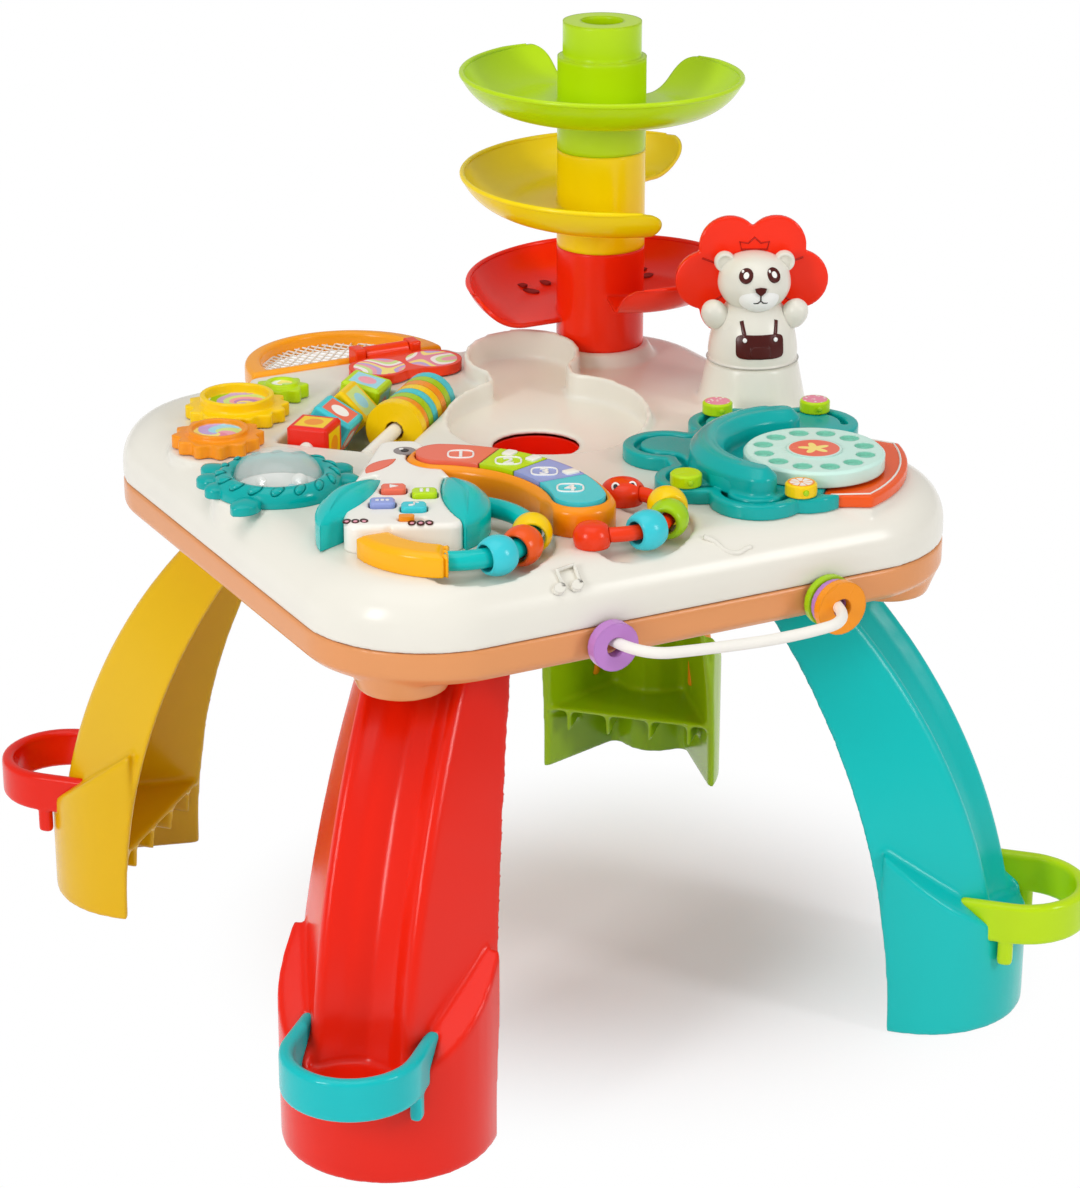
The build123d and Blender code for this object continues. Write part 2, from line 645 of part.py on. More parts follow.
# Phone: plate, cheek, dial and fruit sliders
# Each fruit: lobe centre, groove radius, rest angle, travel down and up
FRUITS = {
    "berry": ((110, -42), 17, 90, -45, 45),
    "melon": ((148, -62), 19, 50, -50, 40),
    "lemon": ((46, -112), 15, 215, -60, 0),
    "slice": ((88, -150), 15, 234, -12, 12),
}
FRUIT_R = 8.5
GROOVE_W = 3.4
GROOVE_IN = 8.0         # groove middle inside the plate's edge
DIMPLE = 2.4            # depth of the dial's finger dimples
FRUIT_PIN = 1.4


def phone_plate():
    plate = slab(plate_outline, DECK, PLATE_Z)
    ring = offset(plate_outline, GROOVE_W / 2 - GROOVE_IN) - offset(plate_outline, -GROOVE_W / 2 - GROOVE_IN)
    plate -= slab(ring - offset(cheek_outline, 14), PLATE_Z - 5, PLATE_Z + 1)
    for centre, radius, rest, down, up in FRUITS.values():
        groove = arc_slot(centre, radius, rest + down - 4, rest + up + 4, GROOVE_W)
        plate -= slab(groove, PLATE_Z - 5, PLATE_Z + 1)
    grip = ThreePointArc((125, -70), (60, -98), (62, -148))
    plate += chamfer(top_edges(slab(SlotArc(grip, 19), PLATE_Z - 1, PLATE_Z + 14)), 5)
    plate += disc(*DIAL, PLATE_Z - 1, PLATE_Z + 6.6, ROD_R)
    return plate


def dial():
    body = chamfer(top_edges(slab(Circle(DIAL_R), PLATE_Z + GAP, PLATE_Z + 9)), 1.5)
    for k in range(12):
        dimple = Pos(*polar((0, 0), 28, 30 * k + 15)) * RegularPolygon(5.4, 12)
        body -= slab(dimple, PLATE_Z + 9 - DIMPLE, PLATE_Z + 10)
    body += disc(0, 0, PLATE_Z + 8, PLATE_Z + 9.8, 15)
    body -= disc(0, 0, PLATE_Z, PLATE_Z + 7, ROD_R + FIT)
    return Pos(*DIAL, 0) * body


def save_phone():
    save(phone_plate(), "phone_plate")
    save(slab(cheek_outline, DECK, PLATE_Z - 1.5), "phone_cheek")
    save(dial(), "dial")
    for name, (centre, radius, rest, down, up) in FRUITS.items():
        fruit = chamfer(top_edges(slab(RegularPolygon(FRUIT_R, 20), PLATE_Z + GAP, PLATE_Z + 7)), 1)
        fruit += slab(RegularPolygon(FRUIT_PIN, 8), PLATE_Z - 4, PLATE_Z + 1)
        save(Pos(*polar(centre, radius, rest), 0) * fruit, f"fruit_{name}")


# Lion on its pedestal
HEAD_Z = 45.5
MANE_Z = 45.0
PETALS = ((-5, 27, 17), (53, 22, 17.5), (127, 22, 17.5), (185, 27, 17), (232, 24, 15), (308, 24, 15))


def lion_frame():
    return Pos(*LION, LION_Z) * Rot(0, 0, LION_TURN)


def lion_figure():
    body = faceted(((25, GAP), (25.5, 7), (23.5, 18), (19, 28), (13, 35)), 24)
    head = ((9, -16.5), (16, -12.5), (20.2, -5), (20.6, 2), (18.5, 9), (12.5, 14), (6, 16.2))
    figure = body + Pos(0, 0, HEAD_Z) * faceted(head, 24)
    for side in (-1, 1):
        ear = faceted(((3, -6), (6.5, -3), (6.5, 3), (3, 6)), 14)
        figure += Pos(side * 17, 3, HEAD_Z + 10.5) * Rot(90, 0, 0) * ear
        hand = faceted(((4, -9), (7, -5), (7, 3), (4, 7)), 14)
        figure += Pos(side * 23, -6, 28) * Rot(25, side * 25, 0) * hand
    snout = faceted(((9.5, -6), (9, 2), (5.5, 6)), 16)
    figure += Pos(0, -17.5, HEAD_Z - 3) * Rot(90, 0, 0) * snout
    figure += disc(0, 0, -7.5, GAP + 1, 6 - FIT)
    return figure


def lion_mane(figure):
    outline = Circle(28)
    for angle, reach, r in PETALS:
        outline += Pos(*polar((0, 0), reach, angle)) * Circle(r)
    plate = extrude(Plane.XZ * outline, 5)
    return Pos(0, 15, MANE_Z) * plate - figure


def save_lion():
    figure = lion_figure()
    save(lion_frame() * figure, "lion_figure")
    save(lion_frame() * lion_mane(figure), "lion_mane")


# Net hoop behind the table
NET_T = 1.2
NET_BAR = 6.0           # width of the hoop's bar
NET_CELL = 9.0


def save_net():
    hoop = half_disc(NET_R) - Pos(0, NET_BAR) * half_disc(NET_R - 2 * NET_BAR)
    save(Pos(*NET, 0) * fillet(top_edges(slab(hoop, *NET_Z)), 2.4), "net_hoop")
    sheet = Pos(0, NET_BAR + GAP) * half_disc(NET_R - 2 * NET_BAR - 2 * GAP)
    cells = Sketch()
    for i in range(-5, 6):
        for j in range(5):
            x, y = i * NET_CELL, 2 * NET_BAR + j * NET_CELL
            if hypot(x, y - NET_BAR) < NET_R - 3 * NET_BAR:
                cells += Pos(x, y) * Rot(0, 0, 45) * Rectangle(5.4, 5.4)
    save(Pos(*NET, 0) * slab(sheet - cells, DECK - 6, DECK - 6 + NET_T), "net")


# Pull cord and its rings
CORD_SAG = 3.0
RING_BORE = 5.2
CORD_POINTS = (
    (CORD_X[0], -CORD_END, CORD_Z), (CORD_X[0], -CORD_OUT[0], CORD_Z),
    (-7, -CORD_OUT[0] - 3, CORD_Z - CORD_SAG), (38, -CORD_OUT[1], CORD_Z - CORD_SAG),
    (CORD_X[1], -CORD_OUT[1], CORD_Z), (CORD_X[1], -CORD_END, CORD_Z),
)


def cord_radii():
    """Bend radius at each inner point: 0.45 of the shorter run over the half turn."""
    radii = []
    for a, b, c in zip(CORD_POINTS, CORD_POINTS[1:], CORD_POINTS[2:]):
        u = Vector(*b) - Vector(*a)
        v = Vector(*c) - Vector(*b)
        turn = radians(u.get_angle(v))
        radii.append(0.45 * min(u.length, v.length) / tan(turn / 2))
    return radii


def cord_ring(x, y0, y1, r, sides):
    z = CORD_Z - (RING_BORE - CORD_R - 0.5)
    ring = RegularPolygon(r, sides) - Circle(RING_BORE)
    return Pos(x, y1, z) * extrude(Plane.XZ * ring, y1 - y0)


def save_cord():
    radii = cord_radii()
    print("cord radii", [round(r, 1) for r in radii])
    route = FilletPolyline(*CORD_POINTS, radius=radii)
    start = Plane(origin=CORD_POINTS[0], z_dir=(0, -1, 0))
    section = start * RegularPolygon(CORD_R, 8)
    cord = sweep(section, route)
    print("cord length", round(route.length), "volume", round(cord.volume))
    print("section x length", round(section.area * route.length))
    save(cord, "pull_cord")
    save(cord_ring(CORD_X[0], -HALF - 9, -HALF - 2.5, 13, 24), "cord_ring_left")
    right = []
    for near, far, r in ((2, 6.5, 14), (7.2, 11.7, 13), (12.4, 17.4, 14.5)):
        right.append(cord_ring(CORD_X[1], -HALF - far, -HALF - near, r, 24))
    save(Compound(right), "cord_rings_right")


save_table()
save_legs()
save_tower()
save_gears()
save(flip_hinge(), "flip_hinge")
save(flip_page(), "flip_page")
save_tray()
save_bird()
save_beads()
save_fish()
save_phone()
save_lion()
save_net()
save_cord()
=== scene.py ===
"""Looks of the activity table: materials, prints, smooth forms, light and camera.

Sizes are millimetres in the shared frame until a mesh is made; Blender gets metres.
"""

from math import atan2, cos, degrees, pi, radians, sin, sqrt

import bpy
from mathutils import Matrix, Vector


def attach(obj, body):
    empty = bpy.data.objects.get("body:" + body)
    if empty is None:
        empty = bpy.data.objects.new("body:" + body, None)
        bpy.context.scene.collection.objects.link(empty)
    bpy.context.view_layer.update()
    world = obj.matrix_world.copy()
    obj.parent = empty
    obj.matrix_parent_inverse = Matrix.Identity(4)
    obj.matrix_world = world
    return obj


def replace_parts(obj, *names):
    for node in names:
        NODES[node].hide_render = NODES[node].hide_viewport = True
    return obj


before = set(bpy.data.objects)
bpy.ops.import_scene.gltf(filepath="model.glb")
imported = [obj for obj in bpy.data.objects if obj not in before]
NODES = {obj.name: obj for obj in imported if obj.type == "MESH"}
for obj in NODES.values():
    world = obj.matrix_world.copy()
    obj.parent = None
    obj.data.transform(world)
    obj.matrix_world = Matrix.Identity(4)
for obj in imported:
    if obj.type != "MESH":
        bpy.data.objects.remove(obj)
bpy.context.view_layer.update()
SCENE = bpy.context.scene

# Sizes shared with the solids
DECK = 303
PLATE_Z = 311
PANEL_Z = 318
KEY_TOP = 320.5
KEY_FLOOR, PANEL_FLOOR = 311, 309      # bottoms of the pockets for keys and buttons
# Gears: middle and radius of the print
GEARS = {"yellow": (-122, 116, 18), "orange": (-151.83, 73.40, 14), "green": (-85.27, 136.36, 6.5)}
GEAR_TOP = 311
TRAY_AT, TRAY_TURN = (-57, 79), 45
ROD_Y, ROD_Z = 18, 300
RING_COUNT, RING_PITCH = 8, 7.8
RINGS_BEFORE = 9.1      # the stack starts this far before the tray's middle
# Blocks: place along the rod and turn about it
BLOCKS = {"red": (-40.5, 0), "turquoise": (-13.5, 28), "yellow": (13.5, 45), "green": (40.5, 12)}
BLOCK_FACE = 11.4       # prints show this far from a block's middle
BLOCK_PANEL, BLOCK_SPOT = 8.6, 5.4      # half width of the printed square, radius of its spot
BIRD_AT, BIRD_TURN = (-118, -92), -24.8
BEAK, BEAK_R = (-112, -106), 80
KEY_ARC, KEY_HALF = (-18, 58), 14      # key slot along the beak, directions and half width
BUTTON_TOP = 2.6        # above the panel
BUTTONS = {"coral": (-5, 16), "lime": (11, 9), "lavender": (-11, -5), "teal": (5, -12)}
BUTTON_HALF = (6.5, 5)
RAIL_A = (-106, -121, 42, 308.6)      # bead rails: centre, radius and height
RAIL_B = (-22, -133, 34, 309)
TAIL_R, TAIL_X = 54, -100      # the tail ends this far from the first rail's centre and before this x
DIAL = (110, -126)
DIAL_HOLES, DIMPLE_AT, DIMPLE_R = 12, 28, 5.6
DIMPLE_Z, DIAL_TOP = (PLATE_Z + 4, PLATE_Z + 8.6), PLATE_Z + 9.4
HUB_R, STAR_R, STAR_RAY = 13.6, 6.2, 2.6
FLIP = (-2, 173)
PAGE_AT, PAGE_R = (17, -28), 15.2      # printed rounds, from the middle of the hinge
FISH = (-150, -4)
FISH_R, LENS_R = 35, 24
FINS = ((128, 49), (152, 44), (176, 40), (224, 50), (8, 45), (-20, 44))     # direction and reach
NET = (-23, 179)
NET_R, NET_BAR = 62, 6
HUES = ("red", "teal", "yellow", "green")      # legs and catch hoops
CORD_RING_JOINTS = (-199.1, -193.9)      # joints between the cord's right rings, along y
HOLE, HOLE_R, HOLE_Z = (17, 17), 24, 293      # ball hole in the bowl
# Top of the chute, and strength of the painted glow on it, an emission that stands in for light
CHUTE_TOP, CHUTE_PAINTED_GLOW = 269, 0.2
TOWER = (118, 126)
# Dishes: radius, height of the rim over the deck at its start and end, start and sweep in degrees, colour
DISHES = (
    (80, 61, 43, 250, 290, "scarlet"), (83, 117, 106, 22, 246, "sun"), (83, 172, 167, 85, 301, "lime"),
)
DISH_T, DISH_CORNER = 2.5, 12
FRUITS = {
    "berry": (110, -25), "melon": (160.21, -47.45), "lemon": (33.71, -120.60), "slice": (79.18, -162.14),
}
FRUIT_R, FRUIT_FACE = 7.1, PLATE_Z + 6.7      # printed tops of the fruit
SIDE_TURN = -27.74      # the photograph's left-to-right direction on the deck


def shift(x, y, z):
    return Matrix.Translation((x, y, z))


def tilt(angle, axis="X"):
    return Matrix.Rotation(radians(angle), 4, axis)


def frame_at(x, y, z, turn=0):
    return shift(x, y, z) @ tilt(turn, "Z")


BIRD = frame_at(*BIRD_AT, PANEL_Z, BIRD_TURN)
LION = frame_at(155, 12, 327, -25)


def srgb(code):
    """Linear colour from a web colour code."""
    parts = [int(code[i:i + 2], 16) / 255 for i in (0, 2, 4)]
    return (*[c / 12.92 if c <= 0.04045 else ((c + 0.055) / 1.055) ** 2.4 for c in parts], 1)


COLOURS = {name: srgb(code) for name, code in {
    "cream": "e9e5d9", "ivory": "f3efe6", "white": "f8f6f2", "peach": "e0965e",
    "red": "ea1e03", "scarlet": "fc2c08", "crimson": "c41a03", "tomato": "ee3a0e", "flame": "f05814",
    "teal": "02a8a4", "turquoise": "02bfbb", "aqua": "08bdbf",
    "yellow": "fad002", "sun": "ffdd00", "maize": "e6b802", "amber": "fbb30c",
    "orange": "f59514", "marigold": "fba51c", "beak_low": "ee7d04", "beak_high": "f59410",
    "green": "98be08", "lime": "bcdf06", "leaf": "a4cf10",
    "coral": "ee6f54", "rose": "f2a3b4", "pink": "ea86a0", "violet": "bd80c8", "lilac": "c3a8dc",
    "lavender": "94a2dc", "blue": "3ccbd6", "sky": "9edcec",
    "mint": "cdeee2", "mint_painted_shade": "90d6c0", "pale_lime": "d0e890", "pale_yellow": "f9e480",
    "brown": "4c110c", "grey": "8f8583", "dark": "201413", "slot_shade": "8e0e06",
}.items()}


class Look:
    """One procedural moulded-plastic material. Fields are node sockets or numbers, in millimetres."""

    def __init__(self, name, rough=0.22, grain=0.03, bevel=1.2):
        self.material = bpy.data.materials.new(name)
        self.material.use_nodes = True
        self.tree = self.material.node_tree
        self.shader = self.tree.nodes["Principled BSDF"]
        self.shader.inputs["Specular IOR Level"].default_value = 0.3
        self.place = self.add("ShaderNodeTexCoord").outputs["Object"]
        split = self.add("ShaderNodeSeparateXYZ", {0: self.place})
        self.x, self.y, self.z = [self.math("MULTIPLY", s, 1000) for s in split.outputs]
        self.rough, self.grain, self.bevel = rough, grain, bevel

    def add(self, kind, inputs=None, **settings):
        node = self.tree.nodes.new(kind)
        for key, value in settings.items():
            setattr(node, key, value)
        for key, value in (inputs or {}).items():
            self.put(node.inputs[key], value)
        return node

    def put(self, socket, value):
        if isinstance(value, bpy.types.NodeSocket):
            self.tree.links.new(value, socket)
        else:
            socket.default_value = value

    def math(self, operation, a, b=0.0):
        return self.add("ShaderNodeMath", {0: a, 1: b}, operation=operation).outputs[0]

    def plus(self, a, b):
        return self.math("ADD", a, b)

    def less(self, a, b):
        return self.math("SUBTRACT", a, b)

    def times(self, a, b):
        return self.math("MULTIPLY", a, b)

    def turned(self, u, v, u0, v0, angle):
        """Two coordinates about a point, turned back by an angle in degrees."""
        du, dv = self.less(u, u0), self.less(v, v0)
        c, s = cos(radians(angle)), sin(radians(angle))
        along = self.plus(self.times(du, c), self.times(dv, s))
        return along, self.less(self.times(dv, c), self.times(du, s))

    def round(self, x0, y0):
        """Distance from a point on the deck, and the direction from it in whole turns."""
        u, v = self.less(self.x, x0), self.less(self.y, y0)
        far = self.math("SQRT", self.plus(self.times(u, u), self.times(v, v)))
        return far, self.math("FRACT", self.times(self.math("ARCTAN2", v, u), 0.5 / pi))

    def inside(self, value, limit, soft=0.25):
        """1 where the value is under the limit, with a narrow soft edge."""
        edge = {"From Min": limit - soft, "From Max": limit + soft, "To Min": 1, "To Max": 0}
        return self.add("ShaderNodeMapRange", {"Value": value, **edge}).outputs[0]

    def above(self, value, limit, soft=0.25):
        return self.less(1, self.inside(value, limit, soft))

    def both(self, *masks):
        product = masks[0]
        for mask in masks[1:]:
            product = self.times(product, mask)
        return product

    def blend(self, mask, under, over):
        return self.add("ShaderNodeMix", {0: mask, 6: under, 7: over}, data_type="RGBA").outputs[2]

    def steps(self, value, names):
        """Bands of equal width over 0 to 1."""
        node = self.add("ShaderNodeValToRGB", {0: value})
        ramp = node.color_ramp
        ramp.interpolation = "CONSTANT"
        while len(ramp.elements) < len(names):
            ramp.elements.new(0.5)
        for i, name in enumerate(names):
            ramp.elements[i].position = i / len(names)
            ramp.elements[i].color = COLOURS[name]
        return node.outputs[0]

    def noise(self, scale, detail=2.0):
        inputs = {"Vector": self.place, "Scale": scale, "Detail": detail}
        return self.add("ShaderNodeTexNoise", inputs).outputs[0]

    def spread(self, value, low, high):
        inputs = {"Value": value, "From Min": 0.3, "From Max": 0.7, "To Min": low, "To Max": high}
        return self.add("ShaderNodeMapRange", inputs).outputs[0]

    def done(self, colour):
        """Ends the material: slight flow marks, uneven gloss, fine grain and softened edges."""
        flow = self.spread(self.noise(9, 2), 0.985, 1.015)
        tint = self.add("ShaderNodeHueSaturation", {"Value": flow, "Color": colour})
        self.put(self.shader.inputs["Base Color"], tint.outputs[0])
        gloss = self.spread(self.noise(30, 2), self.rough - 0.02, self.rough + 0.02)
        self.put(self.shader.inputs["Roughness"], gloss)
        soft = self.add("ShaderNodeBevel", {"Radius": self.bevel / 1000}, samples=6)
        grain = {"Strength": self.grain, "Distance": 0.0002, "Height": self.noise(900, 2)}
        bump = self.add("ShaderNodeBump", {**grain, "Normal": soft.outputs[0]})
        self.put(self.shader.inputs["Normal"], bump.outputs[0])
        return self.material


_plain = {}      # plain materials already made


def plain(colour, rough=0.22, bevel=1.2, grain=0.03):
    key = (colour, rough, bevel, grain)
    if key not in _plain:
        _plain[key] = Look(f"{colour}_plastic_{len(_plain)}", rough, grain, bevel).done(COLOURS[colour])
    return _plain[key]


def paint(node, material):
    slots = NODES[node].data.materials
    slots.clear()
    slots.append(material)


# Plain painted solids
PAINT = {
    "cream": ("top_shell", "lion_figure"),
    "ivory": ("tray_rods", "bird_panel", "dome_lens", "net", "pull_cord"),
    "peach": ("bottom_shell", "battery_door"),
    "red": ("leg_red", "catch_hoop_yellow"),
    "scarlet": ("tower_red", "lion_mane"),
    "tomato": ("flip_hinge", "worm_rail"),
    "flame": ("phone_cheek",),
    "teal": ("phone_plate", "bird_wings", "fish_bezel"),
    "turquoise": ("leg_teal",),
    "aqua": ("catch_hoop_red",),
    "yellow": ("beads_yellow_orange_a", "beads_yellow_green_b"),
    "sun": ("tower_yellow",),
    "marigold": ("net_hoop",),
    "maize": ("leg_yellow",),
    "green": ("leg_green",),
    "lime": ("tower_green", "catch_hoop_teal", "key_lime", "button_lime"),
    "orange": ("catch_hoop_green", "power_switch"),
    "coral": ("key_coral", "button_coral"),
    "lavender": ("key_lavender", "button_lavender"),
    "blue": ("key_teal", "button_teal", "beads_blue_a", "beads_blue_b"),
    "violet": ("cord_ring_left",),
}
BEVELS = {"tower_red": 3, "tower_yellow": 3, "tower_green": 3, "top_shell": 2}
for hue in HUES:
    BEVELS[f"leg_{hue}"] = 2
for colour, nodes in PAINT.items():
    for node in nodes:
        paint(node, plain(colour, bevel=BEVELS.get(node, 1.2)))

# Solids with prints or more than one colour


def chute():
    """Thin red plastic with a painted glow: a faint red emission of its own stands in for light in the ball
    hole.
    """
    look = Look("chute_painted_glow", 0.35)
    # Painted glow: the chute gives off a little red light of its own, though it is no lamp
    look.shader.inputs["Emission Color"].default_value = COLOURS["red"]
    look.shader.inputs["Emission Strength"].default_value = CHUTE_PAINTED_GLOW
    paint("ball_chute", look.done(COLOURS["red"]))


def gear_prints():
    """A swirl, a pinwheel and rings inside the rims of the three gears."""
    bands = {
        "yellow": ("lilac", "pale_yellow", "violet", "rose", "pale_lime", "lilac", "leaf", "white"),
        "orange": ("rose", "pale_lime", "sky", "lilac", "pale_yellow", "pink"),
        "green": ("pale_lime", "pale_yellow", "white", "leaf"),
    }
    swirl = {"yellow": 0.03, "orange": 0.025, "green": 0.05}      # turns per millimetre outwards
    body = {"yellow": "yellow", "orange": "orange", "green": "lime"}
    for name, (x, y, r) in GEARS.items():
        look = Look(f"{name}_gear_print", 0.3)
        far, turn = look.round(x, y)
        phase = look.plus(turn, look.times(far, swirl[name]))
        picture = look.steps(look.math("FRACT", phase), bands[name])
        disc = look.both(look.inside(far, r - 0.4), look.above(look.z, GEAR_TOP - 0.6))
        paint(f"gear_{name}", look.done(look.blend(disc, COLOURS[body[name]], picture)))


def ring_colours():
    """Counting rings along their rod, and the cord's right rings along the cord."""
    look = Look("counting_rings_plastic", 0.28)
    along, _ = look.turned(look.x, look.y, *TRAY_AT, TRAY_TURN)
    stack = look.times(look.plus(along, RINGS_BEFORE), 1 / (RING_COUNT * RING_PITCH))
    colours = ("yellow", "orange", "leaf", "blue") * (RING_COUNT // 4)
    paint("counting_rings", look.done(look.steps(stack, colours)))
    look = Look("cord_rings_plastic", 0.28)
    colour = COLOURS["orange"]
    for joint, inner in zip(CORD_RING_JOINTS, ("violet", "leaf")):
        colour = look.blend(look.above(look.y, joint), colour, COLOURS[inner])
    paint("cord_rings_right", look.done(colour))


def block_prints():
    """A framed picture of plain shapes on the four long faces of each block."""
    inks = {"red": ("red", "yellow", "orange"), "turquoise": ("blue", "coral", "white"),
            "yellow": ("yellow", "pale_lime", "sky"), "green": ("lime", "sky", "rose")}
    for name, (along, turn) in BLOCKS.items():
        look = Look(f"block_{name}_print", 0.3)
        u, across = look.turned(look.x, look.y, *TRAY_AT, TRAY_TURN)
        u = look.math("ABSOLUTE", look.less(u, along))
        v, w = look.turned(across, look.z, ROD_Y, ROD_Z, turn)
        v, w = look.math("ABSOLUTE", v), look.math("ABSOLUTE", w)
        edge, side = look.math("MAXIMUM", v, w), look.math("MINIMUM", v, w)
        face = look.above(edge, BLOCK_FACE)
        panel = look.both(face, look.inside(look.math("MAXIMUM", u, side), BLOCK_PANEL))
        far = look.math("SQRT", look.plus(look.times(u, u), look.times(side, side)))
        spot = look.both(face, look.inside(far, BLOCK_SPOT))
        ground, field, mark = [COLOURS[c] for c in inks[name]]
        paint(f"block_{name}", look.done(look.blend(spot, look.blend(panel, ground, field), mark)))


def flip_print():
    """Pastel patches on the two round pages."""
    look = Look("flip_page_print", 0.25)
    colour = COLOURS["tomato"]
    hues = look.math("FRACT", look.times(look.noise(40, 0), 3))
    patches = look.steps(hues, ("rose", "lilac", "pale_yellow", "pink", "white", "pale_lime"))
    for side in (-1, 1):
        far, _ = look.round(FLIP[0] + side * PAGE_AT[0], FLIP[1] + PAGE_AT[1])
        page = look.both(look.inside(far, PAGE_R), look.above(look.z, DECK + 6.2))
        colour = look.blend(page, colour, patches)
    paint("flip_page", look.done(colour))


def beak_and_tail():
    """Orange beak, paler towards its upper edge, and an amber tail."""
    look = Look("beak_and_tail_plastic", 0.2, bevel=1)
    far, _ = look.round(*RAIL_A[:2])
    heights = {"Value": look.z, "From Min": DECK, "From Max": PANEL_Z}
    high = look.add("ShaderNodeMapRange", heights).outputs[0]
    beak = look.blend(high, COLOURS["beak_low"], COLOURS["beak_high"])
    tail = look.both(look.inside(far, TAIL_R), look.inside(look.x, TAIL_X))
    paint("beak_and_tail", look.done(look.blend(tail, beak, COLOURS["amber"])))


def dial_print():
    """Finger dimples darkened with painted shade, and a coral middle with a plain star."""
    look = Look("dial_print", 0.26)
    far, turn = look.round(*DIAL)
    part = look.math("FRACT", look.times(turn, DIAL_HOLES))
    sector = look.times(look.less(part, 0.5), 2 * pi / DIAL_HOLES)
    u = look.less(look.times(far, look.math("COSINE", sector)), DIMPLE_AT)
    v = look.times(far, look.math("SINE", sector))
    hole = look.math("SQRT", look.plus(look.times(u, u), look.times(v, v)))
    sunk = look.both(look.above(look.z, DIMPLE_Z[0]), look.inside(look.z, DIMPLE_Z[1]))
    # Painted shade: the sunk walls and floors of the dimples get a darker mint
    dimple_shade = look.both(look.inside(hole, DIMPLE_R), sunk)
    colour = look.blend(dimple_shade, COLOURS["mint"], COLOURS["mint_painted_shade"])
    top = look.above(look.z, DIAL_TOP)
    colour = look.blend(look.both(look.inside(far, HUB_R), top), colour, COLOURS["coral"])
    ray = look.math("COSINE", look.times(turn, 10 * pi))
    star = look.inside(look.less(far, look.times(ray, STAR_RAY)), STAR_R)
    paint("dial", look.done(look.blend(look.both(star, top), colour, COLOURS["pale_yellow"])))


def fruit_prints():
    """Seeded pink tops, a cut slice with segments, and a plain lemon."""
    for name, (x, y) in FRUITS.items():
        look = Look(f"fruit_{name}_print", 0.28)
        far, turn = look.round(x, y)
        top = look.both(look.inside(far, FRUIT_R), look.above(look.z, FRUIT_FACE))
        if name == "slice":
            wedge = look.math("ABSOLUTE", look.less(look.math("FRACT", look.times(turn, 8)), 0.5))
            flesh = look.both(look.inside(wedge, 0.4, 0.03), look.inside(far, 6), look.above(far, 1.2))
            picture = look.blend(flesh, COLOURS["orange"], COLOURS["ivory"])
        elif name == "lemon":
            picture = COLOURS["lime"]
        else:
            cells = {"Vector": look.place, "Scale": 420.0}
            seed = look.add("ShaderNodeTexVoronoi", cells).outputs["Distance"]
            picture = look.blend(look.inside(seed, 0.3, 0.06), COLOURS["pink"], COLOURS["ivory"])
        rind = COLOURS["yellow" if name == "slice" else "lime"]
        paint(f"fruit_{name}", look.done(look.blend(top, rind, picture)))


for prints in (chute, gear_prints, ring_colours, block_prints, flip_print, beak_and_tail, dial_print,
               fruit_prints):
    prints()

# Pull cord
CORD_ROUTE = (
    (-50, -176, 263), (-50, -214, 263), (-7, -217, 260), (38, -223, 260), (80, -223, 263), (80, -176, 263),
)
CORD_R = 3


def pull_cord():
    curve = bpy.data.curves.new("pull_cord_soft", "CURVE")
    curve.dimensions = "3D"
    spline = curve.splines.new("NURBS")
    spline.points.add(len(CORD_ROUTE) - 1)
    for point, place in zip(spline.points, CORD_ROUTE):
        point.co = (*[c / 1000 for c in place], 1)
    spline.order_u = 3
    spline.use_endpoint_u = True
    curve.resolution_u = 24
    curve.bevel_depth = CORD_R / 1000
    curve.bevel_resolution = 6
    obj = bpy.data.objects.new("pull_cord_soft", curve)
    SCENE.collection.objects.link(obj)
    obj.data.materials.append(plain("ivory", rough=0.5, grain=0.2))
    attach(obj, "table")
    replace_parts(obj, "pull_cord")


pull_cord()

# Forms: each gives points and faces in millimetres


def rounded(profile, per=6):
    """Smooth line through pairs of numbers."""
    ends = [profile[0], *profile, profile[-1]]
    line = []
    for a, b, c, d in zip(ends, ends[1:], ends[2:], ends[3:]):
        for t in [k / per for k in range(per)]:
            weights = (-t + 2 * t**2 - t**3, 2 - 5 * t**2 + 3 * t**3, t + 4 * t**2 - 3 * t**3, t**3 - t**2)
            line.append([sum(w * p[i] for w, p in zip(weights, (a, b, c, d))) / 2 for i in (0, 1)])
    return line + [profile[-1]]


def strips(rows, sides, loop):
    """Faces between neighbouring rows of points."""
    faces = []
    for i in range(rows if loop else rows - 1):
        low, high = i * sides, (i + 1) % rows * sides
        faces += [(low + k, low + (k + 1) % sides, high + (k + 1) % sides, high + k) for k in range(sides)]
    return faces


def capped(rows, sides):
    """Faces between rows of points, with both ends closed."""
    last = (rows - 1) * sides
    return strips(rows, sides, False) + [tuple(reversed(range(sides))), tuple(range(last, last + sides))]


def polar(centre, radius, angle):
    """Plan place at a distance and a direction in degrees from a centre."""
    a = radians(angle)
    return centre[0] + radius * cos(a), centre[1] + radius * sin(a)


def arc(centre, radius, start, end, z, count=40):
    return [(*polar(centre, radius, start + (end - start) * k / count), z) for k in range(count + 1)]


def turned(profile, place=Matrix(), sides=48, loop=False):
    """Turned form from (radius, height) pairs, capped, or closed on itself when it is a ring."""
    spokes = [polar((0, 0), 1, 360 * k / sides) for k in range(sides)]
    points = [place @ Vector((r * x, r * y, z)) for r, z in profile for x, y in spokes]
    return points, strips(len(profile), sides, True) if loop else capped(len(profile), sides)


def ball(place, r, sides=24):
    turns = [pi * k / 12 for k in range(13)]
    return turned([(max(r * sin(a), 0.01), -r * cos(a)) for a in turns], place, sides)


def flat(place):
    """A surface for decals: a plane with its own height direction."""
    return lambda u, v, h: place @ Vector((u, v, h))


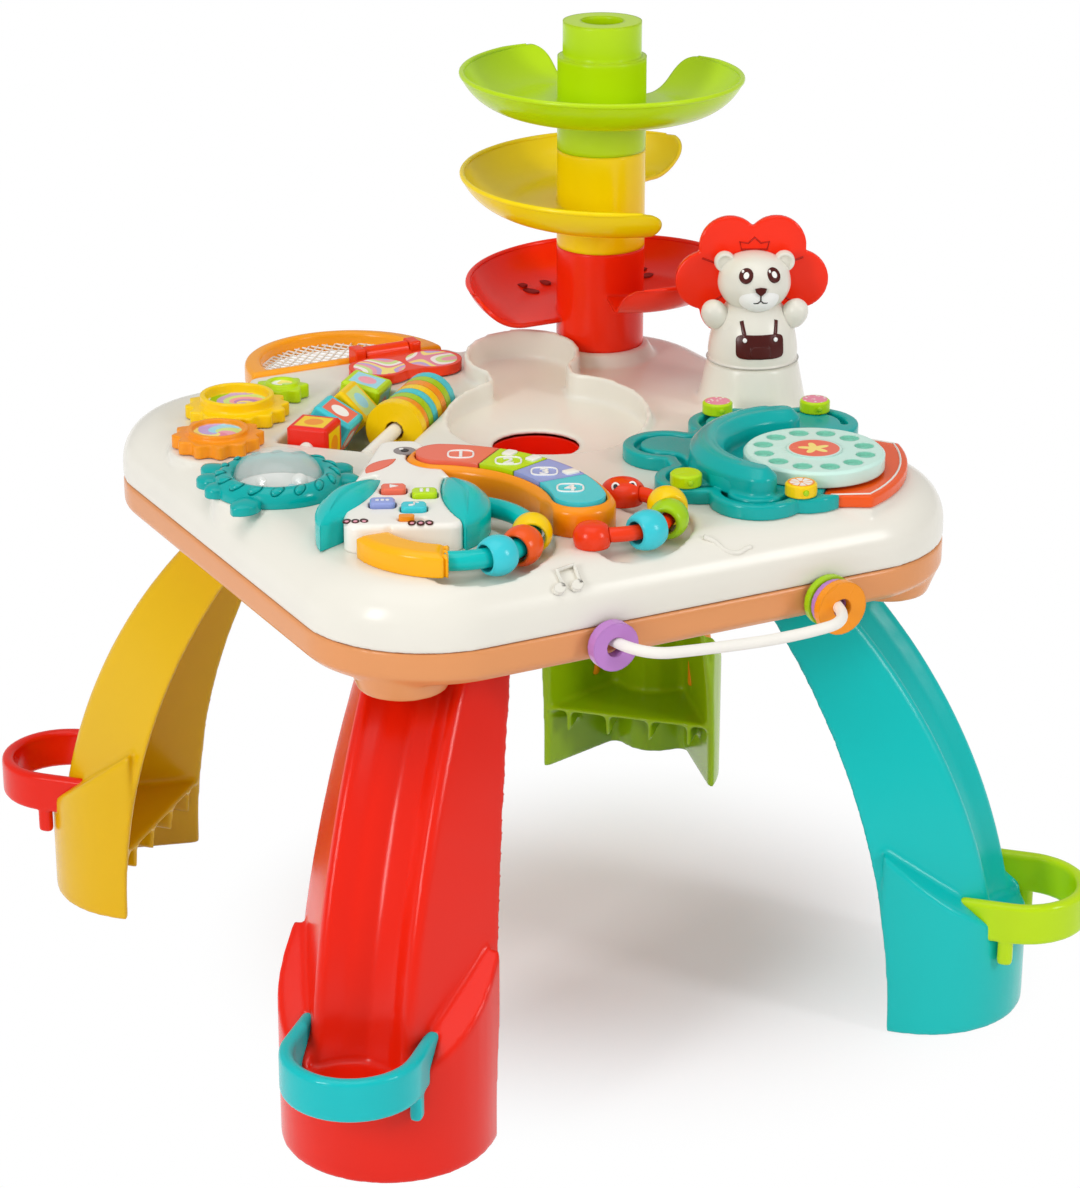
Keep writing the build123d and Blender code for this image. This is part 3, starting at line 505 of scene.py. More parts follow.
def decal(outline, surface, lift=0.3, rings=4, sink=0.4):
    """Thin raised shape on a surface, from an outline seen whole from its middle."""
    n = len(outline)
    cu, cv = sum(p[0] for p in outline) / n, sum(p[1] for p in outline) / n
    points = [surface(cu, cv, lift)]
    for ring in range(1, rings + 1):
        t = ring / rings
        points += [surface(cu + (u - cu) * t, cv + (v - cv) * t, lift) for u, v in outline]
    points += [surface(u, v, -sink) for u, v in outline]
    faces = [(0, 1 + k, 1 + (k + 1) % n) for k in range(n)]
    for ring in range(rings):
        low, high = 1 + ring * n, 1 + (ring + 1) * n
        faces += [(low + k, high + k, high + (k + 1) % n, low + (k + 1) % n) for k in range(n)]
    return points, faces


def puff(outline, place, base, edge, top, rings=10):
    """Domed form over an outline, with an upright side from base to edge."""
    n = len(outline)
    cu, cv = sum(p[0] for p in outline) / n, sum(p[1] for p in outline) / n
    points = [place @ Vector((u, v, base)) for u, v in outline]
    for ring in range(rings):
        lean = pi / 2 * ring / rings
        s, z = cos(lean), edge + (top - edge) * sin(lean)
        points += [place @ Vector((cu + (u - cu) * s, cv + (v - cv) * s, z)) for u, v in outline]
    faces = strips(rings + 1, n, False)
    last = rings * n
    points.append(place @ Vector((cu, cv, top)))
    faces += [(last + k, last + (k + 1) % n, len(points) - 1) for k in range(n)]
    faces.append(tuple(reversed(range(n))))
    return points, faces


def oval(u, v, ru, rv, turn=0, count=36, power=1.0):
    """Oval outline; a power under 1 squares it."""
    points = []
    c, s = cos(radians(turn)), sin(radians(turn))
    for k in range(count):
        a = 2 * pi * k / count
        x = ru * abs(cos(a)) ** power * (1 if cos(a) >= 0 else -1)
        y = rv * abs(sin(a)) ** power * (1 if sin(a) >= 0 else -1)
        points.append((u + x * c - y * s, v + x * s + y * c))
    return points


def bow(a, b, c, count=16):
    """Points on a circle's arc from a through b to c, without the last."""
    ax, ay, bx, by, cx, cy = *a, *b, *c
    d = 2 * (ax * (by - cy) + bx * (cy - ay) + cx * (ay - by))
    sa, sb, sc = ax**2 + ay**2, bx**2 + by**2, cx**2 + cy**2
    middle = Vector(((sa * (by - cy) + sb * (cy - ay) + sc * (ay - by)) / d,
                     (sa * (cx - bx) + sb * (ax - cx) + sc * (bx - ax)) / d))
    arm = Vector(a) - middle
    sweep = -arm.angle_signed(Vector(b) - middle) - (Vector(b) - middle).angle_signed(Vector(c) - middle)
    line = []
    for k in range(count):
        t = sweep * k / count
        x = middle.x + arm.x * cos(t) - arm.y * sin(t)
        y = middle.y + arm.x * sin(t) + arm.y * cos(t)
        line.append((x, y))
    return line


def leaf(a, b, left, right):
    """Outline from a to b and back, bowed through a point on each side."""
    return bow(a, left, b) + bow(b, right, a)


def tube(line, radius, sides=10):
    """Round tube along points, with closed ends; the radius may change from point to point."""
    line = [Vector(p) for p in line]
    radii = radius if isinstance(radius, list) else [radius] * len(line)
    points = []
    for i, here in enumerate(line):
        ahead = (line[min(i + 1, len(line) - 1)] - line[max(i - 1, 0)]).normalized()
        across = ahead.cross(Vector((0.13, 0.21, 1))).normalized()
        up = across.cross(ahead)
        for k in range(sides):
            a = 2 * pi * k / sides
            points.append(here + radii[i] * (cos(a) * across + sin(a) * up))
    return points, capped(len(line), sides)


def loaf(line, width, base, top, sides=16):
    """Rounded bar lying along plan points, its ends tapering off."""
    points = []
    last = len(line) - 1
    for i, here in enumerate(line):
        back, ahead = Vector(line[max(i - 1, 0)]), Vector(line[min(i + 1, last)])
        along = (ahead - back).normalized()
        across = Vector((-along.y, along.x))
        end = min(i, last - i) / last
        full = sqrt(1 - (1 - min(end / 0.1, 1)) ** 2)
        for k in range(sides):
            a = pi * k / (sides - 1)
            side = Vector(here) + across * (width * max(full, 0.02) * cos(a))
            rise = (top - base) * (0.35 + 0.65 * full) * sin(a) ** 0.75
            points.append(Vector((side.x, side.y, base + rise)))
    return points, capped(len(line), sides)


def build(name, parts, body="table"):
    """One piece from (form, material) parts, riding on a body."""
    points, faces, index, materials = [], [], [], []
    for (form_points, form_faces), material in parts:
        if material not in materials:
            materials.append(material)
        faces += [tuple(len(points) + k for k in face) for face in form_faces]
        index += [materials.index(material)] * len(form_faces)
        points += form_points
    mesh = bpy.data.meshes.new(name)
    mesh.from_pydata([tuple(p) for p in points], [], faces)
    mesh.transform(Matrix.Scale(0.001, 4))
    for material in materials:
        mesh.materials.append(material)
    for face, i in zip(mesh.polygons, index):
        face.material_index = i
        face.use_smooth = True
    mesh.set_sharp_from_angle(angle=radians(40))
    obj = bpy.data.objects.new(name, mesh)
    SCENE.collection.objects.link(obj)
    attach(obj, body)
    return obj


# Moulded pieces: voxel size, smoothing rounds, share of faces kept
MOULDED = {
    "top_shell": (1.2, 14, 0.1), "bottom_shell": (1.2, 8, 0.06), "phone_plate": (0.8, 10, 0.2),
    "phone_cheek": (0.8, 8, 0.2), "beak_and_tail": (0.7, 20, 0.2), "bird_panel": (0.7, 12, 0.2),
    "net_hoop": (0.8, 10, 0.2), "flip_hinge": (0.6, 6, 0.3), "lion_mane": (0.7, 6, 0.15),
    **{f"gear_{name}": (0.6, 6, 0.3) for name in GEARS},
    **{f"leg_{hue}": (1.2, 24, 0.1) for hue in HUES},
    **{f"catch_hoop_{hue}": (0.6, 20, 0.25) for hue in HUES},
}
RIDES = {"lion_mane": "lion", **{f"gear_{name}": f"gear_{name}" for name in GEARS}}
SWELL = {f"catch_hoop_{hue}": 1.2 for hue in HUES}      # smoothing thins the hoops, so they swell first
SHARP_BELOW = {"beak_and_tail": 314, "bird_panel": 314.5, "phone_plate": 309}      # no smoothing under this
EASE = 0.6              # pockets of the copies are this much wider and deeper
WALL = 1.2              # depth of wall that counts as a pocket's


def on_key_slot(at):
    """Whether a point lies on the wall or floor of the slot for the keys."""
    turn = min(max(degrees(atan2(at.y - BEAK[1], at.x - BEAK[0])), KEY_ARC[0]), KEY_ARC[1])
    away = (at - frame_at(*BEAK, at.z, turn) @ Vector((BEAK_R, 0, 0))).length
    return away < KEY_HALF + WALL and KEY_FLOOR - WALL < at.z < PANEL_Z - 0.5


def on_button_hole(at):
    """Whether a point lies on the wall or floor of a hole for a button."""
    u, v, _ = BIRD.inverted() @ at
    half_u, half_v = [half + WALL for half in BUTTON_HALF]
    beside = any(abs(u - x) < half_u and abs(v - y) < half_v for x, y in BUTTONS.values())
    return beside and PANEL_FLOOR - WALL < at.z < PANEL_Z - 0.5


POCKETS = {"beak_and_tail": on_key_slot, "bird_panel": on_button_hole}


def applied(obj):
    """Gives an object the mesh that its modifiers make."""
    mesh = bpy.data.meshes.new_from_object(obj.evaluated_get(bpy.context.evaluated_depsgraph_get()))
    obj.modifiers.clear()
    obj.data = mesh
    return mesh


def moulded():
    """Copies of solids with their edges rounded off, as moulded plastic has them."""
    for node, (voxel, rounds, share) in MOULDED.items():
        source = NODES[node]
        obj = bpy.data.objects.new(f"{node}_moulded", source.data.copy())
        SCENE.collection.objects.link(obj)
        obj.matrix_world = source.matrix_world
        remesh = obj.modifiers.new("remesh", "REMESH")
        remesh.mode, remesh.voxel_size = "VOXEL", voxel / 1000
        if node in SWELL:
            swell = obj.modifiers.new("swell", "DISPLACE")
            swell.strength, swell.mid_level = SWELL[node] / 1000, 0
        if node in SHARP_BELOW:
            level = SHARP_BELOW[node] / 1000
            corners = applied(obj).vertices
            upper = [v.index for v in corners if v.co.z > level]
            obj.vertex_groups.new(name="upper").add(upper, 1, "REPLACE")
        smooth = obj.modifiers.new("smooth", "SMOOTH")
        smooth.vertex_group = "upper" if node in SHARP_BELOW else ""
        smooth.factor, smooth.iterations = 0.5, rounds
        if node in POCKETS:
            walls = [v.index for v in corners if POCKETS[node](v.co * 1000)]
            obj.vertex_groups.new(name="pocket").add(walls, 1, "REPLACE")
            ease = obj.modifiers.new("ease", "DISPLACE")
            ease.vertex_group, ease.strength, ease.mid_level = "pocket", -EASE / 1000, 0
        obj.modifiers.new("decimate", "DECIMATE").ratio = share
        mesh = applied(obj)
        obj.vertex_groups.clear()
        mesh.materials.clear()
        mesh.materials.append(source.data.materials[0])
        for face in mesh.polygons:
            face.use_smooth = True
        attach(obj, RIDES.get(node, "table"))
        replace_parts(obj, node)


# Beads, each node with its rail, bore and (direction, colour) places, and the worm rail
BEADS = {
    "beads_yellow_orange_a": (RAIL_A, 7.0, ((-30, "yellow"), (-56, "flame"))),
    "beads_blue_a": (RAIL_A, 7.0, ((-82, "blue"),)),
    "beads_yellow_green_b": (RAIL_B, 6.0, ((-12, "yellow"), (-45, "leaf"))),
    "beads_blue_b": (RAIL_B, 6.0, ((-80, "blue"),)),
}
BEAD_HALF = 7.4         # half length
BEAD_LINE = ((8.3, -BEAD_HALF), (10, -4), (10.6, 0), (10, 4), (8.3, BEAD_HALF))


def beads():
    for name, ((x, y, radius, z), bore, places) in BEADS.items():
        parts = []
        for angle, colour in places:
            place = frame_at(x, y, z, angle) @ shift(radius, 0, 0) @ tilt(90)
            section = rounded([(bore, -BEAD_HALF), *BEAD_LINE, (bore, BEAD_HALF)])
            parts.append((turned(section, place, loop=True), plain(colour)))
        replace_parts(build(f"{name}_smooth", parts, name), name)


WORM_HEAD = 45          # direction of the head from the rail's centre


def worm():
    x, y, radius, z = RAIL_B
    red = plain("tomato")
    parts = [(tube(arc((x, y), radius, -122, 36, z), 4, 20), red)]
    for angle, r in ((WORM_HEAD, 12), (-130, 10)):
        place = shift(*polar((x, y), radius, angle), DECK)
        dome = rounded([(r * 0.9, 0), (r, 4), (r * 0.95, 8), (r * 0.64, 11.6), (0.01, 12.8)])
        parts.append((turned(dome, place), red))
    hx, hy = polar((x, y), radius, WORM_HEAD)
    for side in (-1, 1):
        eye = frame_at(hx - 2.5 + side * 4.4, hy - 5.6 - side * 1.2, DECK + 10.6, SIDE_TURN) @ tilt(50)
        parts.append((decal(oval(0, 0, 2.2, 2.5), flat(eye), 0.7), plain("white")))
        parts.append((decal(oval(0, 0, 1.2, 1.4), flat(eye), 1.0), plain("dark")))
    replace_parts(build("worm_rail_smooth", parts), "worm_rail")


# Lion
HEAD_Z = 45.5
FACE_TURN = 4           # the face looks a little to one side
HEAD_R, HEAD_H = 20.6, 16.4


def on_head(turn, rise):
    """A place on the front of the head, its height direction straight out."""
    a, e = radians(turn + FACE_TURN), radians(rise)
    at = Vector((HEAD_R * cos(e) * sin(a), -HEAD_R * cos(e) * cos(a), HEAD_Z + HEAD_H * sin(e)))
    out = Vector((at.x / HEAD_R**2, at.y / HEAD_R**2, (at.z - HEAD_Z) / HEAD_H**2))
    return LION @ shift(*at) @ out.to_track_quat("Z", "Y").to_matrix().to_4x4()


BODY_LINE = rounded([
    (0.01, 0.4), (24.6, 0.4), (25.3, 1.4), (25.5, 7), (23.8, 17), (19.4, 27), (13, 34), (0.01, 36),
])
HEAD_LINE = rounded([
    (0.01, -16.4), (9, -15.4), (16, -11.6), (20.2, -4.6), (20.6, 1.6), (18.6, 8.4), (12.8, 13.8),
    (6, 16), (0.01, 16.5),
])
EAR_LINE = rounded([(0.01, -6), (4, -5), (6, 0), (5.4, 4.4), (4.2, 4.8), (3, 3.4), (0.01, 3)])
HAND_LINE = rounded([(0.01, -9.5), (4, -8.6), (7, -4.5), (7.2, 2), (4.4, 7), (0.01, 8.2)])
MUZZLE_LINE = rounded([(10.4, -4), (10.2, 0), (8.8, 3), (5, 5.4), (0.01, 6)])


def on_body(u, v, h):
    """Wraps a flat shape round the front of the body: u round it, v up it, h out of it."""
    r = 20
    for (r0, z0), (r1, z1) in zip(BODY_LINE, BODY_LINE[1:]):
        if z0 <= v <= z1 and z1 > z0:
            r = r0 + (r1 - r0) * (v - z0) / (z1 - z0)
    a = u / r + radians(FACE_TURN)
    return LION @ Vector(((r + h) * sin(a), -(r + h) * cos(a), v))


def lion():
    cream = plain("cream", rough=0.26)
    parts = [(turned(BODY_LINE, LION), cream), (turned(HEAD_LINE, LION @ shift(0, 0, HEAD_Z)), cream)]
    for side in (-1, 1):
        ear = LION @ shift(side * 17, 2, HEAD_Z + 11) @ tilt(90)
        parts.append((turned(EAR_LINE, ear, 32), cream))
        hand = LION @ shift(side * 23, -6, 28) @ tilt(25) @ tilt(side * 25, "Y")
        parts.append((turned(HAND_LINE, hand, 32), cream))
    muzzle = LION @ tilt(FACE_TURN, "Z") @ shift(0, -15.2, HEAD_Z - 5.4)
    muzzle = muzzle @ tilt(90) @ Matrix.Diagonal((1.15, 0.86, 1, 1))
    parts.append((turned(MUZZLE_LINE, muzzle), plain("white", rough=0.28)))
    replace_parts(build("lion_smooth", parts, "lion"), "lion_figure")


def lion_face():
    brown, white, dark = plain("brown"), plain("white"), plain("dark")
    face = []
    for side in (-1, 1):
        eye = flat(on_head(side * 25, 27))
        face.append((decal(oval(0, 0, 4.1, 4.6), eye, 0.7, sink=1.6), brown))
        face.append((decal(oval(0.2, 0, 1.6, 2.0), eye, 0.95), white))
        face.append((decal(oval(-2.2, 2.4, 0.7, 0.9), eye, 0.95), white))
    front = LION @ tilt(FACE_TURN, "Z")
    nose = flat(front @ shift(0, -20.9, HEAD_Z - 0.6) @ tilt(80))
    tip = [(-3.4, 1.6), (0, 2.2), (3.4, 1.6), (2.6, -0.8), (0, -2.8), (-2.6, -0.8)]
    face.append((decal(tip, nose, 0.9, sink=1.5), brown))
    smile = [(-5, -6.2), (-3.6, -7.6), (-1.6, -7.4), (0, -6), (1.6, -7.4), (3.6, -7.6), (5, -6.2)]
    line = [front @ Vector((x, -21.3 + 0.05 * x * x, HEAD_Z + z)) for x, z in smile]
    stem = [front @ Vector((0, -21.3, HEAD_Z + z)) for z in (-3, -6)]
    face += [(tube(stroke, 0.38, 8), dark) for stroke in (line, stem)]
    build("lion_face", face, "lion")


def lion_bib():
    brown, white = plain("brown"), plain("white")
    bib = [(decal(oval(0, 13, 14.2, 6.8, power=0.35, count=56), on_body, 0.5), brown)]
    for side in (-1, 1):
        strap = [(side * 7.4, 18), (side * 10, 18), (side * 11.4, 26.5), (side * 9.2, 27.2)]
        bib.append((decal(strap[::side], on_body, 0.45), brown))
        bib.append((decal(oval(side * 8.8, 17, 1.2, 1.2), on_body, 1.0), white))
    bib.append((decal(oval(0, 10, 5.6, 3.2, power=0.5), on_body, 0.75), plain("brown", rough=0.4)))
    build("lion_bib", bib, "lion")


def mane_relief():
    """Seams between the petals and a small tuft on the front of the mane: thin raised lines whose darker
    red is painted shade of the creases.
    """
    # Darker red for the seams and the tuft's outline: painted shade
    seam_shade_red = plain("crimson")
    front = LION @ shift(0, 9.9, 45)
    parts = []
    for angle in (21, 159, -33, 213):
        ends = [front @ Vector((r * cos(radians(angle)), 0, r * sin(radians(angle)))) for r in (18, 31)]
        parts.append((tube(ends, 0.6, 8), seam_shade_red))
    tuft = [(-7.4, 0), (7.4, 0), (8.4, 4.4), (3.6, 3.6), (0, 7), (-3.6, 3.6), (-8.4, 4.4)]
    loop = [front @ Vector((x + 0.8, 0, z + 16)) for x, z in tuft + tuft[:2]]
    parts.append((tube(loop, 0.55, 8), seam_shade_red))
    build("mane_relief", parts, "lion")


# Bird: wings and first rail, face, claws, key badges, button marks
WINGS = (leaf((-10, 35), (-43, -32), (-41, 7), (-21, -3)), leaf((22, 38), (31, -34), (20.5, 0), (45, 2)))
FOLDS = (leaf((-12, 32), (-40, -27), (-39, 7), (-28, 0)), leaf((23.5, 34), (32, -30), (31, 0), (43, 2)))
TAIL_END = 241.5        # direction of the tail's toothed end from the rail's centre


def wings():
    teal = plain("turquoise", rough=0.16)
    place = frame_at(*BIRD_AT, 0, BIRD_TURN)
    parts = [(puff(outline, place, DECK, PANEL_Z - 3, PANEL_Z + 5), teal) for outline in WINGS]
    parts += [(puff(outline, place, DECK + 8, PANEL_Z - 2.6, PANEL_Z + 6.4), teal) for outline in FOLDS]
    x, y, radius, z = RAIL_A
    parts.append((tube(arc((x, y), radius, -120, 56, z), 5.2, 24), teal))
    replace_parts(build("bird_wings_smooth", parts), "bird_wings")


def bird_face():
    """Eye, crest and claw prints on the panel, and the toothed end of the tail."""
    panel = flat(BIRD)
    parts = [(decal(oval(2, 79, 6, 6.2), panel), plain("grey"))]
    parts.append((decal(oval(2, 79, 2.2, 2.4), panel, 0.6), plain("dark")))
    parts.append((decal(oval(0.2, 81, 1.2, 1.3), panel, 0.8), plain("white")))
    parts.append((decal(leaf((-19, 44), (-3, 66), (-17, 57), (-11, 50)), panel), plain("coral")))
    for u, v in ((-25, -29), (8, -33)):
        for k in (-1, 0, 1):
            claw = oval(u + 4.4 * k, v + 0.5 * abs(k), 2.1, 2.9, 14 * k)
            nail = oval(u + 4.4 * k, v - 0.9, 1.0, 1.3, 14 * k)
            parts.append((decal(claw, panel), plain("brown")))
            parts.append((decal(nail, panel, 0.5), plain("rose")))
    x, y, radius, _ = RAIL_A
    for k in range(3):
        place = frame_at(x, y, DECK, TAIL_END) @ shift(radius - 6 + 6 * k, 0, 0)
        tooth = puff([(0, -4.5), (3, 1), (-3, 1)], place, 0, 9, 11.5)
        parts.append((tooth, plain("amber", rough=0.24)))
    build("bird_face", parts)


KEYS = {"coral": 50, "lime": 29.5, "lavender": 10.5, "teal": -11}      # directions from the beak's centre
PADS = {"lime": (33.5, 23.5), "lavender": (4.5,)}      # directions of the pads on two of the keys


def digit(text, place, size, material):
    """A plain number as a thin raised shape."""
    curve = bpy.data.curves.new(f"digit_{text}", "FONT")
    curve.body = text
    curve.size = size
    curve.extrude, curve.offset = 0.25, 0.3
    curve.align_x = curve.align_y = "CENTER"
    holder = bpy.data.objects.new(f"digit_{text}", curve)
    mesh = bpy.data.meshes.new_from_object(holder)
    form = [place @ v.co for v in mesh.vertices], [tuple(p.vertices) for p in mesh.polygons]
    bpy.data.objects.remove(holder)
    bpy.data.meshes.remove(mesh)
    return form, material


def key_badges():
    white = plain("white")
    for i, (name, angle) in enumerate(KEYS.items()):
        place = frame_at(*polar(BEAK, BEAK_R - 2.5, angle), KEY_TOP + 0.2, SIDE_TURN)
        ring = [place @ Vector((u, v, 0)) for u, v in oval(0, 0, 6.8, 6, power=0.6)]
        parts = [(tube(ring + ring[:2], 0.55, 8), white), digit(str(i + 1), place, 12, white)]
        build(f"key_badge_{name}", parts, f"key_{name}")


def key_pads():
    """Pale pads at the outer side of two keys, next to the joints."""
    for name, angles in PADS.items():
        parts = []
        for angle in angles:
            place = frame_at(*BEAK, KEY_TOP, angle) @ shift(BEAK_R + 8.4, 0, 0)
            pad = puff(oval(0, 0, 4.2, 3.2, power=0.4), place, -0.5, 0.8, 1.2, 4)
            parts.append((pad, plain("ivory")))
        build(f"key_pads_{name}", parts, f"key_{name}")


def button_marks():
    white = plain("white")
    marks = {
        "coral": [[(-2, -2.4), (2.6, 0), (-2, 2.4)]],
        "lime": [oval(u, 0, 0.9, 2.3, power=0.4) for u in (-1.6, 1.6)],
        "lavender": [oval(u, 0, 1, 1) for u in (-2.6, 0, 2.6)],
        "teal": [oval(-1.4, -1.4, 1.5, 1.1, 20), oval(0.2, 0.8, 0.45, 2.4), oval(1.4, 2.6, 1.4, 0.6, -20)],
    }
    for name, shapes in marks.items():
        cap = flat(BIRD @ shift(*BUTTONS[name], BUTTON_TOP))
        parts = [(decal(shape, cap), white) for shape in shapes]
        build(f"button_mark_{name}", parts, f"button_{name}")


# Fish porthole
TWISTS = 16             # turns of the cord round the bezel


def fish():
    """Clear dome with loose pearls under it, and a twisted cord relief round the bezel."""
    clear = Look("clear_dome", 0.06, 0.01, 0.3)
    clear.shader.inputs["Alpha"].default_value = 0.2
    clear.shader.inputs["Specular IOR Level"].default_value = 1.0
    outer = rounded([(LENS_R, 0.2), (LENS_R, 6), (21.6, 12.5), (15.5, 18), (7, 20.6), (0.01, 21)])
    inner = [(max(r * 0.945, 0.01), z * 0.945) for r, z in reversed(outer)]
    dome = turned(outer + inner, frame_at(*FISH, DECK), loop=True)
    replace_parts(build("dome_lens_clear", [(dome, clear.done(COLOURS["white"]))]), "dome_lens")
    pearls = [(decal(oval(0, 0, 23, 23, count=60), flat(frame_at(*FISH, DECK)), 0.3), plain("white"))]
    for (u, v, r), colour in (((9, -8, 4.5), "white"), ((-8, 4, 3.2), "white"), ((2, -14, 3), "sky")):
        pearls.append((ball(frame_at(FISH[0] + u, FISH[1] + v, DECK + r), r), plain(colour, rough=0.15)))
    build("dome_pearls", pearls)
    teal = plain("teal", rough=0.16)
    ring = rounded([
        (LENS_R + 0.3, 0), (LENS_R + 0.3, 7.6), (26, 9.6), (29.4, 10), (32.6, 7.8), (34.6, 4), (FISH_R, 0),
    ])
    bezel = [(turned(ring, frame_at(*FISH, DECK), 72, loop=True), teal)]
    for angle, reach in FINS:
        sides = [polar((0, 0), (FISH_R + reach - 9) / 2, angle + lean) for lean in (8, -14)]
        root, tip = polar((0, 0), FISH_R - 6, angle), polar((0, 0), reach, angle - 6)
        bezel.append((puff(leaf(root, tip, *sides), frame_at(*FISH, DECK), 0, 3.5, 6.5), teal))
    for k in range(TWISTS):
        place = frame_at(*FISH, DECK + 8.4, 360 / TWISTS * k) @ shift(29.8, 0, 0) @ tilt(35, "Z")
        bezel.append((puff(oval(0, 0, 2.6, 5, count=20), place, -2, 0, 2.2, 5), teal))
    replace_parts(build("fish_bezel_smooth", bezel), "fish_bezel")


# Phone: handset, cheek line and fruit stalks
STALK_LINE = rounded([(1.7, -2.5), (1.6, 0), (1.1, 1.4), (0.01, 1.6)])


def phone():
    teal = plain("teal", rough=0.15)
    grip = bow((128, -67), (60, -98), (62, -150), 40)
    build("handset", [(loaf(grip, 9.9, PLATE_Z - 1, PLATE_Z + 14.6), teal)])
    edge = [(150, -83), *bow((170.5, -112), (147.5, -151), (114, -175), 10), (114, -175), (95, -166.5)]
    build("cheek_line", [(tube([(x, y, PLATE_Z - 1.5) for x, y in edge], 0.6, 8), plain("ivory"))])
    for name, (x, y) in FRUITS.items():
        stalk = frame_at(x, y, PLATE_Z + 3.6, SIDE_TURN) @ shift(2, -8.6, 0) @ tilt(90)
        build(f"fruit_stalk_{name}", [(turned(STALK_LINE, stalk, 16), plain("leaf"))], f"fruit_{name}")


# Net
STRAND_R, STRAND_PITCH, STRAND_STEPS, STRAND_LEAST = 0.55, 4.5, 12, 3
NET_DROP, NET_SAG = 5.4, 4      # rim of the net under the deck, and its middle under the rim


def net():
    """Diagonal strands that sag a little inside the hoop."""
    reach = NET_R - 2 * NET_BAR + 0.3
    cx, cy = NET[0], NET[1] + NET_BAR
    parts = []
    for lean in (1, -1):
        for k in range(-11, 12):
            off = k * STRAND_PITCH
            half = sqrt(max(reach**2 - off**2, 0))
            low = max(-half, off)
            if half - low < STRAND_LEAST:
                continue
            line = []
            for i in range(STRAND_STEPS + 1):
                t = low + (half - low) * i / STRAND_STEPS
                u, v = lean * (t + off) / sqrt(2), (t - off) / sqrt(2)
                sag = NET_SAG * (1 - (u * u + v * v) / reach**2)
                line.append((cx + u, cy + v, DECK - NET_DROP - sag))
            parts.append((tube(line, STRAND_R, 6), plain("ivory", rough=0.6)))
    obj = build("net_strands", parts)
    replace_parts(obj, "net")


# Raised marks on the front edge, collar of the ball hole, rims of the dishes and their slots in painted
# shade
EDGE_SLOPE = 43         # degrees from level
RIM_STEPS = 120
# Floor of the lowest dish: depth under the rim, bend, radius where it is lowest
DISH_DEPTH, DISH_BEND, DISH_LOW = 17.5, 0.012, 46
# Slots: distance and direction from the tower, half length and half width
SLOTS = ((51, 116, 6, 3), (54, 99, 4.5, 2.6), (59, 114, 3.6, 2.4), (53, 28, 5, 3), (60, 35, 3, 2.2))


def reliefs():
    cream = plain("cream")
    notes = shift(-71, -180, 297) @ tilt(EDGE_SLOPE)
    parts = [(decal(oval(u, -5, 3.5, 2.8, 20), flat(notes), 1.2, sink=1.5), cream) for u in (-5, 5)]
    stems = [(-2.6, -4.6), (-2.6, 5), (7.4, 6.4), (7.4, -4.4)]
    parts.append((tube([notes @ Vector((u, v, 0.1)) for u, v in stems], 1.3, 10), cream))
    curl = shift(26, -177, 298) @ tilt(EDGE_SLOPE)
    wave = [(-12, 6), (-7, 2), (-3, -4), (3, -6.5), (9, -5), (12, -4.6)]
    parts.append((tube([curl @ Vector((*p, 0)) for p in rounded(wave)], 1.4, 10), cream))
    build("edge_reliefs", parts)


def hole_collar():
    """Red collar that leads from the ball hole down to the chute."""
    low, high = CHUTE_TOP, HOLE_Z - 2
    wall = [(HOLE_R + 0.4, high), (HOLE_R + 0.4, low), (HOLE_R + 1.6, low), (HOLE_R + 1.6, high)]
    build("hole_collar", [(turned(wall, frame_at(*HOLE, 0), loop=True), plain("red", rough=0.35))])


def dish_rims():
    """Rounded rims on the three dishes, thinner towards their ends."""
    rims = []
    for r, high, low, start, sweep, colour in DISHES:
        line, radii = [], []
        for k in range(RIM_STEPS + 1):
            end = radians(sweep) * r * min(k, RIM_STEPS - k) / RIM_STEPS - DISH_CORNER
            if end > 0:
                at = polar(TOWER, r - DISH_T / 2, start + sweep * k / RIM_STEPS)
                line.append((*at, DECK + high + (low - high) * k / RIM_STEPS))
                radii.append(0.8 + 0.8 * min(end / 20, 1))
        rims.append((tube(line, radii, 12), plain(colour)))
    build("dish_rims", rims)


def dish_slot_shades():
    """Slots in the floor of the lowest dish, as dark decals of painted shade."""
    slots = []
    _, high, low, start, sweep, _ = DISHES[0]
    for out, turn, long, wide in SLOTS:
        rim = high + (low - high) * ((turn - start) % 360) / sweep
        floor_z = DECK + rim - DISH_DEPTH + DISH_BEND * (out - DISH_LOW) ** 2
        place = flat(frame_at(*polar(TOWER, out, turn), floor_z, turn))
        # Painted shade: a dark decal lies over each slot, where the open slot shows dark
        slots.append((decal(oval(0, 0, long, wide), place, 0.7), plain("slot_shade", rough=0.5)))
    build("dish_slot_shades", slots)


for make in (moulded, beads, worm, lion, lion_face, lion_bib, mane_relief, wings, bird_face, key_badges,
             key_pads, button_marks, fish, phone, net, reliefs, hole_collar, dish_rims, dish_slot_shades):
    make()

# Floor, light and camera
FLOOR = srgb("fafbfe")
SHADE = (50, -30)       # middle of the shadow that stays on the floor
SHADE_NEAR, SHADE_FAR = 60, 255      # the paper turns white between these distances from it
TARGET = Vector((0, 0, 0.2))
CAMERA_TURN, CAMERA_RISE, CAMERA_AWAY = -27.74, 21.8, 1.90803
FOCAL, CENTRE, IMAGE = 3372.36, (523.21, 615.45), (1080, 1188)      # in pixels
SENSOR = 36


def aim(obj, place, target):
    obj.location = place
    obj.rotation_euler = (Vector(target) - Vector(place)).to_track_quat("-Z", "Y").to_euler()


